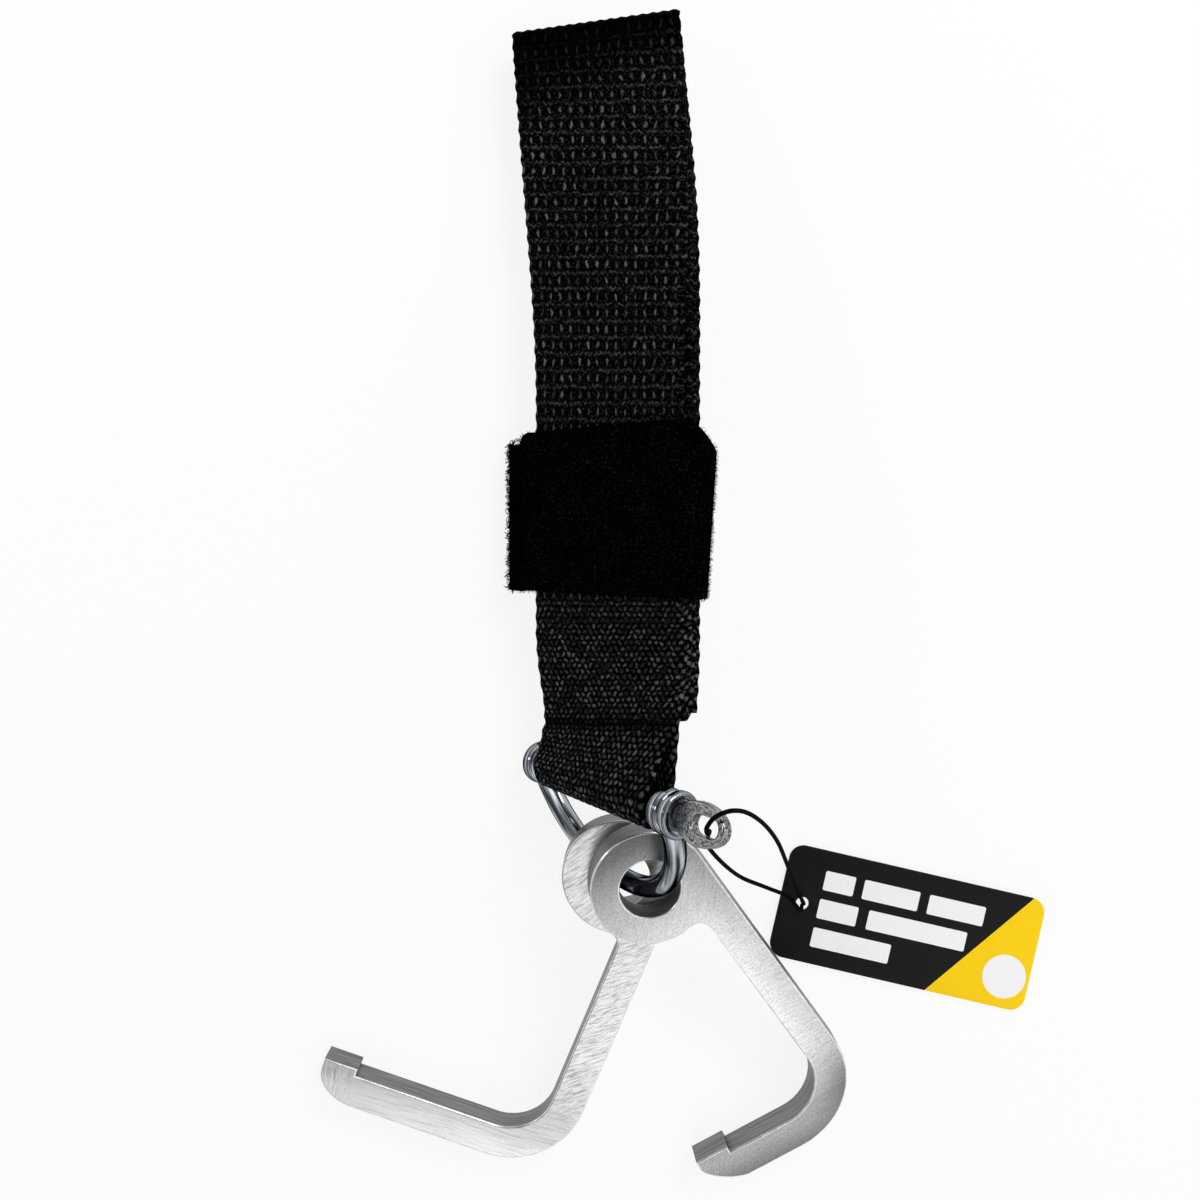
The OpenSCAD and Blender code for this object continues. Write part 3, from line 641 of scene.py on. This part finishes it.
def tube(points, radii, sides):
    """A closed round tube along points, with u round it and v along it in mm."""
    points = np.asarray(points, float)
    d = unit(np.gradient(points, axis=0))
    v = np.cross(d[0], (0.3, 0.2, 0.93))
    rings = []
    a = 2 * np.pi * np.arange(sides) / sides
    for k, p in enumerate(points):
        v = v - d[k] * (v @ d[k])
        v /= np.linalg.norm(v)
        b = np.cross(d[k], v)
        rings.append(p + radii[k] * (np.cos(a)[:, None] * v + np.sin(a)[:, None] * b))
    far, faces, uv = so_far(points), [], []
    for i in range(len(points) - 1):
        band(faces, uv, i * sides, (i + 1) * sides, sides, np.arange(sides + 1) / sides, far[i:i + 2])
    last = (len(points) - 1) * sides
    faces += [list(range(sides)), list(range(last, last + sides))]
    uv += [(0, 0)] * sides + [(0, far[-1])] * sides
    return np.vstack(rings), faces, 0, uv


def lathe(profile, sides=48, ring=False):
    """A part turned about x from a profile of (x, r): a ring if the profile closes on itself."""
    profile = np.asarray(profile, float)
    a = 2 * np.pi * np.arange(sides) / sides
    points = np.vstack([np.stack([np.full(sides, x), r * np.cos(a), r * np.sin(a)], -1) for x, r in profile])
    faces, uv = [], []
    for i in range(len(profile) - (not ring)):
        j = (i + 1) % len(profile)
        band(faces, uv, i * sides, j * sides, sides, range(sides + 1), (i / 8, (i + 1) / 8))
    uv = [(v, u) for u, v in uv]
    if not ring:
        last = (len(profile) - 1) * sides
        faces += [list(range(sides)), list(range(last, last + sides))]
        uv += [(0, 0)] * 2 * sides
    return points, faces, 0, uv


polished_steel, tree, steel = shader("polished_steel", Metallic=1.0, Specular_Tint=(0.1, 0.1, 0.1, 1))
streak = noise(lay_of(tree), (12, 0.05, 1), 2)
tint(steel, streak, (0.4, (0.04, 0.045, 0.053)), (0.64, (0.6, 0.63, 0.68)))
tint(steel, streak, (0.35, 0.16), (0.7, 0.05), socket="Roughness")
bump(steel, streak, 0.5, 0.25)


def laid(spot, *turns):
    """Where a piece lies: its own origin put on a spot, after its turns about x, y and z."""
    return Matrix.Translation(Vector(spot)) @ Euler(turns).to_matrix().to_4x4()


shackle_at = laid(pin_mid, math.radians(bow_dip), -pin_rise, -pin_yaw)
bow_line = np.vstack([[[bow_r, 0]], arc(0, -leg_len, bow_r, 0, -180, 64), [[-bow_r, 0]]])
bow_line, far = spaced(bow_line, bow_step)
from_end = np.minimum(far, far[-1] - far)
swell_by, swell_from, swell_over = 0.07, 4, 6
swell = 1 + swell_by * (1 - ease((from_end - swell_from) / swell_over))
bow = [tube(np.c_[bow_line, 0 * far], rod_d / 2 * swell, rod_sides)]
hole_r, ear_r, ear_round, hole_round = pin_d / 2 + pin_gap, ear_d / 2, 2.9, 0.5
ear = np.vstack([arc(ear_t / 2 - ear_round, ear_r - ear_round, ear_round, 0, 90, 8),
                 arc(ear_round - ear_t / 2, ear_r - ear_round, ear_round, 90, 180, 8),
                 arc(hole_round - ear_t / 2, hole_r + hole_round, hole_round, 180, 270, 4),
                 arc(ear_t / 2 - hole_round, hole_r + hole_round, hole_round, -90, 0, 4)])
for x in (-bow_r, bow_r):
    bow.append(lathe(ear + (x, 0), ring=True))
bow = build("shackle_bow_rod", bow, [polished_steel], shackle_at)
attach(bow, "shackle")
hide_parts("shackle_bow")

# Shackle pin: a turned screw pin with a thread at its foot, a collar, and a flat eye to turn it by.
# The shank and collar are polished, and the cast eye is left rough between its worn edges.
collar_d, collar_t, tab_h, tab_len, tab_t, slot_w, slot_len, slot_in = 13, 2.4, 11.4, 17, 3, 5, 9.6, 1.4
collar_x = bow_r + ear_t / 2 + move_gap
tab_x, tab_end = collar_x + collar_t, collar_x + collar_t + tab_len
slot_x = tab_end - tab_h / 2 - slot_in
foot_x, thread_pitch, thread_turns, thread_deep, foot_cut = -bow_r - ear_t / 2, 1.0, 6, 0.45, 0.9
thread_start, crest_from, crest_to, neck_in, pin_sides = 0.5, 0.4, 0.6, 0.3, 40
low_round, high_round, neck_r, shank_r, rim_r = 0.6, 0.9, 3, pin_d / 2, collar_d / 2
shank = [(foot_x, shank_r - foot_cut)]
for k in range(thread_turns):
    x = foot_x + thread_start + k * thread_pitch
    shank += [(x, shank_r - thread_deep), (x + crest_from, shank_r), (x + crest_to, shank_r)]
shank += [(foot_x + crest_to + thread_turns * thread_pitch, shank_r), (collar_x - neck_in, shank_r)]
shank += [(collar_x, rim_r - low_round), *arc(collar_x + low_round, rim_r - low_round, low_round, 180, 90, 4)]
shank += [*arc(tab_x - high_round, rim_r - high_round, high_round, 90, 0, 5), (tab_x, neck_r)]


def plate(loops, low, high, bevel, steps=3):
    """A flat plate cut to an outline and its holes, with rounded edges: flats, cut edge, edge round."""
    rings = [(bevel * (1 - math.sin(a)), bevel * (1 - math.cos(a)))
             for a in (math.pi / 2 * k / steps for k in range(steps + 1))]
    levels = [(i, high - d) for i, d in rings] + [(i, low + d) for i, d in reversed(rings)]
    points, faces, slots, caps, uv = [], [], [], [], []
    for loop in loops:
        loop = np.asarray(loop, float)
        closed = np.vstack([loop, loop[:1]])
        far, d = so_far(closed), unit(np.diff(closed, axis=0))
        n = np.stack([d[:, 1], -d[:, 0]], -1)
        mitre = n + np.roll(n, 1, 0)
        mitre /= (mitre * n).sum(1)[:, None]
        start, size = len(points), len(loop)
        for inset, z in levels:
            points += np.c_[loop - inset * mitre, np.full(size, z)].tolist()
        for r in range(len(levels) - 1):
            ring = start + r * size
            band(faces, uv, ring, ring + size, size, far, (levels[r][1], levels[r + 1][1]))
            slots += [1 if r == steps else 2] * size
        caps.append((start, start + (len(levels) - 1) * size, size))
    for layer in (0, 1):
        index = [c[layer] + k for c in caps for k in range(c[2])]
        loops3 = [[Vector(points[c[layer] + k]) for k in range(c[2])] for c in caps]
        cap = [[index[k] for k in t] for t in tessellate_polygon(loops3)]
        faces += cap
        slots += [0] * len(cap)
        uv += [points[i][:2] for t in cap for i in t]
    return points, faces, slots, uv


tab_half, tab_edge = 9.4, 0.5
tab_line = arc(0, 0, 1, -148, 148, 60) * (tab_half, tab_h / 2) + (tab_end - tab_half, 0)
slot_half = (slot_len - slot_w) / 2
slot_line = np.vstack([arc(slot_x + slot_half, 0, slot_w / 2, 90, -90, 18),
                       arc(slot_x - slot_half, 0, slot_w / 2, 270, 90, 18)])
cast_steel, tree, cast = shader("cast_steel", Metallic=1.0)
grit = noise(on_piece(tree), 1600, 3, 0.7)
tint(cast, grit, (0.38, (0.035, 0.035, 0.037)), (0.64, (0.46, 0.46, 0.465)))
tint(cast, grit, (0.3, 0.55), (0.7, 0.28), socket="Roughness")
bump(cast, grit, 0.6, 0.25)
pin_at = laid(pin_mid, 0, -pin_rise, -pin_yaw)
tab_points, tab_faces, tab_slots, _ = plate([tab_line, slot_line], -tab_t / 2, tab_t / 2, tab_edge)
tab = (tab_points, tab_faces, [1 if s < 2 else 0 for s in tab_slots], None)
pin = build("shackle_pin_eye", [lathe(shank, pin_sides), tab], [polished_steel, cast_steel], pin_at, sharp=35)
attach(pin, "pin")
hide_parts("shackle_pin")

# Hooks: two flat hooks cut from 8 mm steel plate, each with an eye on the bow, an arm, a toe and a lip.
# Their flats were ground by hand, the cut edges stay darker, and the corners are lightly broken. The flats
# also carry painted light and shade down each hook, and painted shade towards the outer edge.
plate_t, eye_d, bar_w, bend_in, lip_len, lip_h, notch_r = 8, 34, 9.8, 14, 10.4, 2.2, 4
nose_flat, nose_len, hook_hole, edge_break = 1, 12, 17.3576, 0.45
arm_blend, toe_blend, nose_blend = (-12, -20), (26, 12), (12, 6)


def hook_outline(reach, lean, toe, nose_power):
    """The hook's outline, eye at the origin and toe along -x.
    The nose is an oval at power 2, and flatter below that."""
    inner, bend_out, nose = eye_d / 2 - bar_w, bend_in + bar_w, bar_w - nose_flat
    c, s = math.cos(math.radians(lean)), math.sin(math.radians(lean))
    bend = np.array([(eye_d / 2 - bend_out - s * (bend_out - reach)) / c, bend_out - reach])
    tip = (eye_d / 2 + s * reach) / c - toe
    notch = np.array([inner - notch_r, -math.sqrt((eye_d / 2 + notch_r) ** 2 - (inner - notch_r) ** 2)])
    meet = math.degrees(math.atan2(notch[1], notch[0]))
    eye_and_notch = np.vstack([arc(0, 0, eye_d / 2, 0, 360 + meet, 90),
                               arc(*notch, notch_r, meet + 180, 0, 14)])
    eye_and_notch = eye_and_notch @ np.array([[c, s], [-s, c]])
    nose_line = -(abs(arc(0, 0, 1, 180, 270, 18)) ** (2 / nose_power)) * (nose_len, nose)
    nose_line = nose_line + (tip + nose_len, nose - reach)
    return np.vstack([
        eye_and_notch, arc(*bend, bend_in, lean, -90, 28),
        [[tip + lip_len, bar_w - reach], [tip + lip_len, bar_w + lip_h - reach]],
        [[tip, bar_w + lip_h - reach]],
        nose_line, arc(*bend, bend_out, -90, lean, 36)])


cut_edge, tree, cut = shader("cut_edge", Metallic=1.0, Roughness=0.5)
burn = noise(lay_of(tree), (0.05, 1.7, 1), 4, 0.7)
tint(cut, burn, (0.35, 0.13), (0.65, 0.3))
bump(cut, burn, 0.1, 0.05)
broken_edge, tree, broken = shader("broken_edge", Metallic=1.0, Roughness=0.3)
nick = noise(on_piece(tree), 400, 3)
tint(broken, nick, (0.3, 0.5), (0.7, 0.8))


def in_mm(tree, place):
    """A piece's own coordinates in mm, from where it was laid."""
    return put(tree, "ShaderNodeMapping", {"vector_type": "TEXTURE"}, Scale=(mm, mm, mm),
               Rotation=place.to_euler(), Location=place.translation * mm, Vector=on_piece(tree))[0]


def dimmed(colour, share):
    return put(colour.id_data, "ShaderNodeMix", {"data_type": "RGBA", "blend_type": "MULTIPLY"},
               i0=1.0, i6=colour, i7=share)[2]


def ground_plate(name, place, reach, lean, tip, painted_tones, strokes, grain, rim):
    """Plate ground by hand. Painted tones are (y, grey) down the hook, as painted light and shade, and grain
    is how much a fine speckle shows.
    Strokes are (angle, length, width, depth) of the wheel's marks on the eye, arm, toe and nose.
    Rim is how much painted shade darkens the flat from the hook's outer edge inwards, as (mm, share)."""
    material, tree, node = shader(name, Metallic=1.0)
    local = in_mm(tree, place)
    x, y, _ = parts_of(local)

    def share(value, start, stop):
        return put(tree, "ShaderNodeMapRange", {"interpolation_type": "SMOOTHSTEP"}, Value=value,
                   From_Min=start, From_Max=stop)[0]

    arm, toe = share(y, *arm_blend), share(y, *(at - reach for at in toe_blend))
    nose = share(x, *(at + tip for at in nose_blend))
    masks = [minus(a, b) for a, b in ((1, arm), (arm, toe), (toe, nose))] + [nose]
    wander = put(tree, "ShaderNodeTexNoise", Vector=local, Scale=0.12, Detail=1)[1]
    bent = put(tree, "ShaderNodeVectorMath", {"operation": "MULTIPLY_ADD"},
               i0=wander, i1=(1, 1, 0), i2=local)[0]
    marks = 0.0
    for mask, (angle, length, width, depth) in zip(masks, strokes):
        turned = put(tree, "ShaderNodeVectorRotate", {"rotation_type": "Z_AXIS"}, Vector=bent,
                     Angle=math.radians(-angle))[0]
        streak = noise(turned, (1 / length, 1 / width, 0.2), 4, 0.7)
        streak = ramp(streak, (0.46, 0), (0.66, 1))
        marks = times_plus(times(streak, depth), mask, marks)
    speck = minus(noise(local, 1.5, 3, 0.7), 0.5)
    worn = minus(1, times_plus(speck, grain, marks))
    # Painted light and shade: the flat is lighter or darker down the hook.
    down = put(tree, "ShaderNodeMapRange", Value=y, From_Min=eye_d / 2, From_Max=-reach)[0]
    painted_tone = ramp(down, *[((eye_d / 2 - at) / (eye_d / 2 + reach), grey) for at, grey in painted_tones])
    # Painted shade: the flat darkens towards the hook's outer edge, most on the bend and toe.
    bend_out, c, s = bend_in + bar_w, math.cos(math.radians(lean)), math.sin(math.radians(lean))
    from_arm = times_plus(x, c, times_plus(y, s, bend_out - eye_d / 2))
    from_toe = minus(bend_out - reach, y)
    past = [calc("POWER", most(v, 0), 2) for v in (from_arm, from_toe)]
    inside = minus(bend_out, calc("SQRT", plus(*past)))
    shade = ramp(over(inside, bend_out), *[(at / bend_out, grey) for at, grey in rim])
    shade = times_plus(shade, times_plus(toe, -0.55, -0.45), 1)
    tree.links.new(dimmed(dimmed(painted_tone, worn), shade), node.inputs["Base Color"])
    tint(node, worn, (0.5, 0.46), (1, 0.3), socket="Roughness")
    bump(node, worn, 0.5, 0.06)
    return material


def hook_place(seat, reach, turn):
    """Where a hook lies: its eye on the bow, and the outer edge of its toe on the floor."""
    fall = math.asin((seat[2] - floor_gap) / math.hypot(reach, plate_t / 2)) - math.atan2(plate_t / 2, reach)
    return laid(seat, fall, 0, math.radians(turn))


# Painted light and shade down each hook, as (y, grey): the short hook's eye is darkest at its top, a painted
# shadow of the bow.
long_painted_tones = [(17, 0.84), (0, 0.82), (-20, 0.76), (-50, 0.82), (-66, 0.75), (-80, 0.66), (-85, 0.66),
              (-90, 0.88), (-95, 0.92)]
short_painted_tones = [(17, 0.1), (13, 0.135), (9, 0.22), (0, 0.37), (-10, 0.48), (-18, 0.61), (-30, 0.71),
               (-58, 0.73), (-68, 0.68), (-80, 0.41), (-87, 0.32), (-93, 0.4)]
long_strokes = ((56, 5.5, 0.45, 0.5), (40, 4, 0.4, 0.5), (2, 14, 0.4, 0.3), (97, 5, 0.5, 0.46))
short_strokes = ((50, 6, 0.35, 0.2), (4, 4, 0.3, 0.25), (0, 12, 0.3, 0.15), (60, 5, 0.4, 0.25))
long_rim_shade, short_rim_shade = ((0, 0), (12, 0)), ((0, 0.6), (2, 0.5), (5, 0.32), (8, 0.08), (10, 0))
for name, seat, reach, lean, toe, turn, nose_power, painted_tones, strokes, grain, rim in (
        ("long_hook", (10.7793, -79.2348, 15.9611), 95, -3, 77, -19, 2,
         long_painted_tones, long_strokes, 0.3, long_rim_shade),
        ("short_hook", (18.4896, -79.3888, 26.919), 98, 7, 57, 28, 1.42,
         short_painted_tones, short_strokes, 1.0, short_rim_shade)):
    place = hook_place(seat, reach, turn)
    outline = hook_outline(reach, lean, toe, nose_power)
    hole = arc(0, 0, hook_hole / 2, 0, -360, 64)[:-1]
    ground = ground_plate(f"{name}_ground", place, reach, lean, outline[:, 0].min(),
                          painted_tones, strokes, grain, rim)
    hook = build(f"{name}_plate", [plate([outline, hole], -plate_t / 2, plate_t / 2, edge_break)],
                 [ground, cut_edge, broken_edge], place, sharp=14)
    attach(hook, name)
    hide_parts(name)

# Swing tag: a printed plastic card, black with a yellow corner, hung on the pin's eye.
# Its print is plain bars and a plain disc in screen ink.
tag_len, tag_w, tag_t, tag_corner, tag_edge, tag_turn = 80, 35, 1, 4.5, 0.15, -13
tag_hole_in, tag_hole_d = 7, 4
tag_hole = np.array([66.8198, -92.1183, 0.6])
tag_at = Matrix.Translation(Vector(tag_hole)) @ Matrix.Rotation(math.radians(tag_turn), 4, "Z")


def rounded(x0, y0, x1, y1, r, count):
    return np.vstack([arc(x1 - r, y1 - r, r, 0, 90, count), arc(x0 + r, y1 - r, r, 90, 180, count),
                      arc(x0 + r, y0 + r, r, 180, 270, count), arc(x1 - r, y0 + r, r, 270, 360, count)])


card_print, tree, card = shader("card_print", Specular_IOR_Level=0.1)
local = in_mm(tree, tag_at)
split_low, split_high = 42.3, 68.9
slope = (split_high - split_low) / tag_w
xyz = parts_of(local)
past = minus(xyz[0], times_plus(xyz[1], slope, (split_low + split_high) / 2))
scuff = noise(local, 1.3, 5, 0.7)
black = ramp(scuff, (0.3, (0.005, 0.005, 0.0055)), (0.75, (0.009, 0.009, 0.0095)))
yellow = ramp(scuff, (0.3, (0.93, 0.60, 0.002)), (0.75, (0.98, 0.66, 0.004)))
past = calc("GREATER_THAN", past, 0)
halves = put(tree, "ShaderNodeMix", {"data_type": "RGBA"}, i0=past, i6=black, i7=yellow)[2]
tree.links.new(halves, card.inputs["Base Color"])
tint(card, scuff, (0.3, 0.42), (0.75, 0.55), socket="Roughness")
bump(card, scuff, 0.1, 0.05)
card_line = rounded(-tag_hole_in, -tag_w / 2, tag_len - tag_hole_in, tag_w / 2, tag_corner, 12)
tag_hole_line = arc(0, 0, tag_hole_d / 2, 0, -360, 32)[:-1]
card = build("tag_card_board", [plate([card_line, tag_hole_line], 0, tag_t, tag_edge)], [card_print] * 3,
             tag_at, sharp=20)
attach(card, "tag")
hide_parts("tag_card")

ink_white, tree, ink = shader("ink_white", Roughness=0.5)
worn = noise(on_piece(tree), 1500, 4)
tint(ink, worn, (0.25, 0.8), (0.4, 0.92))
bars = ((5, 14.4, 8.5), (17.2, 34.6, 8.5), (37.6, 55.2, 8.5),
        (5, 17.2, -0.3), (20.5, 51.3, -0.3), (5, 29.4, -9.2))
ink_t, ink_round, bar_h, bar_corner, disc = 0.04, 0.01, 6, 0.5, (65.2, -7.9, 6.7)
marks = [rounded(x0, y - bar_h / 2, x1, y + bar_h / 2, bar_corner, 3) for x0, x1, y in bars]
marks.append(arc(*disc, 0, 360, 48)[:-1])
print_shells = [plate([line], tag_t - ink_t, tag_t + ink_t, ink_round, 1) for line in marks]
ink_marks = build("tag_print", print_shells, [ink_white] * 3, tag_at, sharp=20)
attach(ink_marks, "tag")

# Tag cord: a thin black braided cord, looped through the slot of the pin's eye and the tag's hole.
# It hangs from the eye down to the tag on the floor, and its length is the one that shows.
cord_d, strand, cord_step, cord_sides, strand_turns, strand_lay = 1.2, 0.7, 0.7, 12, 4, 1.1
eye_at = pin_at @ Vector((slot_x, 0, 0))
rest_y = cord_d / 2 + move_gap - slot_w / 2


def by_eye(x, y, z):
    return pin_at @ Vector((slot_x + x, y, z))


def by_tag(x, y, z):
    return Vector(tag_hole) + Vector((x, y, z))


def between(share, v):
    return eye_at.lerp(Vector(tag_hole), share) + Vector(v)


route = [by_tag(0, strand, 0), by_tag(0, strand, 3), between(0.8, (2.8, 1.1, 0)),
         between(0.58, (5.6, 3.1, 0)), between(0.36, (8.4, 4.4, 0)), between(0.16, (9.9, 4.4, 0)),
         between(0, (9.8, 3.5, 0)), by_eye(7.6, 6, 0.9), by_eye(5.2, 3.8, 3.4), by_eye(3.2, 0.8, 3.6),
         by_eye(2, rest_y + 0.7, 2.2), by_eye(0.4, rest_y, 0), by_eye(-2, rest_y - 0.2, -2.8),
         between(0.2, (-6, 0, 0)), between(0.38, (-7, -1, 0)), between(0.57, (-7, -1, 0)),
         between(0.76, (-5, 0, 0)), between(0.9, (-2, 0, 0)), by_tag(-1.2, -1.2, 3.4),
         by_tag(0, -strand, 0)]
route = np.array([route[0], *route, route[-1]])
u = np.linspace(0, 1, 9)[:-1, None]
cord_line = []
for a, b, c, d in zip(route, route[1:], route[2:], route[3:]):
    square, cube = 2 * a - 5 * b + 4 * c - d, 3 * b - a - 3 * c + d
    cord_line.append((2 * b + (c - a) * u + square * u**2 + cube * u**3) / 2)
cord_line, far = spaced(np.vstack([*cord_line, route[-1:]]), cord_step)
cord_braid, tree, braid = shader("cord_braid", Roughness=0.7, Specular_IOR_Level=0.02)
uv = parts_of(lay_of(tree))
strands = []
for way_round in (1, -1):
    turns = times_plus(uv[1], strand_lay, times(uv[0], strand_turns * way_round))
    strands.append(calc("ABSOLUTE", calc("SINE", times(turns, math.pi))))
weave = most(*strands)
tint(braid, weave, (0.5, 0.0003), (1, 0.003))
bump(braid, weave, 0.6, 0.15)
cord_tube = tube(cord_line, np.full(len(cord_line), cord_d / 2), cord_sides)
cord = build("tag_cord_loop", [cord_tube], [cord_braid], sharp=60)
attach(cord, "tag")
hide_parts("tag_cord")

# Studio: a white table in a pale room, with a soft lamp at the back and a small one on each side.
# The room is darker overhead, on the left and at the back, so black cloth stays black and steel has depth.
bpy.context.scene.view_settings.view_transform = "Standard"
floor_mesh = bpy.data.meshes.new("floor")
table_half = 3
floor_mesh.from_pydata([(x * table_half, y * table_half, 0) for x, y in ((-1, -1), (1, -1), (1, 1), (-1, 1))],
                       [], [(0, 1, 2, 3)])
floor = shown("floor", floor_mesh)
white_table, tree, table = shader("white_table", Base_Color=(0.9, 0.9, 0.9, 1), Roughness=0.9)
ray = put(tree, "ShaderNodeLightPath")
seen = most(ray["Is Camera Ray"], most(ray["Is Glossy Ray"], ray["Is Transmission Ray"]))
glow = put(tree, "ShaderNodeEmission", Color=(1, 1, 1, 1), Strength=1.0)[0]
lit = put(tree, "ShaderNodeMixShader", i0=times(seen, 0.85), i1=table.outputs[0], i2=glow)[0]
tree.links.new(lit, tree.nodes["Material Output"].inputs["Surface"])
floor_mesh.materials.append(white_table)

world = bpy.data.worlds.new("room")
bpy.context.scene.world = world
world.use_nodes = True
tree = world.node_tree
toward = parts_of(put(tree, "ShaderNodeTexCoord")["Generated"])
height = ramp(toward[2], (0.5, 1), (0.93, 1), (0.985, 0.3))
left = ramp(times(toward[0], -1), (0, 1), (0.45, 0.2))
far_side = ramp(times_plus(toward[1], 0.5, 0.5), (0.3, 1), (0.7, 0.32))
room = dimmed(dimmed(dimmed(height, left), far_side), (1.45, 1.45, 1.45, 1))
walls = ramp(toward[2], (0.28, 1), (0.5, 0))
room = put(tree, "ShaderNodeMix", {"data_type": "RGBA"}, i0=walls, i6=room, i7=(0.92, 0.92, 0.92, 1))[2]
tree.links.new(room, tree.nodes["Background"].inputs["Color"])

for name, at, across, power in (("back", (0.55, 0.75, 0.8), 0.5, 5), ("left", (-0.75, 0.2, 0.5), 0.2, 0.8),
                                ("right", (0.8, 0.05, 0.45), 0.2, 0.8)):
    lamp_data = bpy.data.lights.new(name, "AREA")
    lamp_data.shape, lamp_data.size, lamp_data.energy = "DISK", across, power
    lamp = shown(name, lamp_data)
    lamp.location = at
    lamp.rotation_euler = (-Vector(at)).to_track_quat("-Z", "Y").to_euler()

camera_data = bpy.data.cameras.new("camera")
camera_data.sensor_width, camera_data.lens = 36, 33.63
camera_data.clip_start, camera_data.clip_end = 0.01, 20
camera = shown("camera", camera_data)
camera.location = (4.81985 * mm, 0.881719 * mm, 345 * mm)
bpy.context.scene.camera = camera
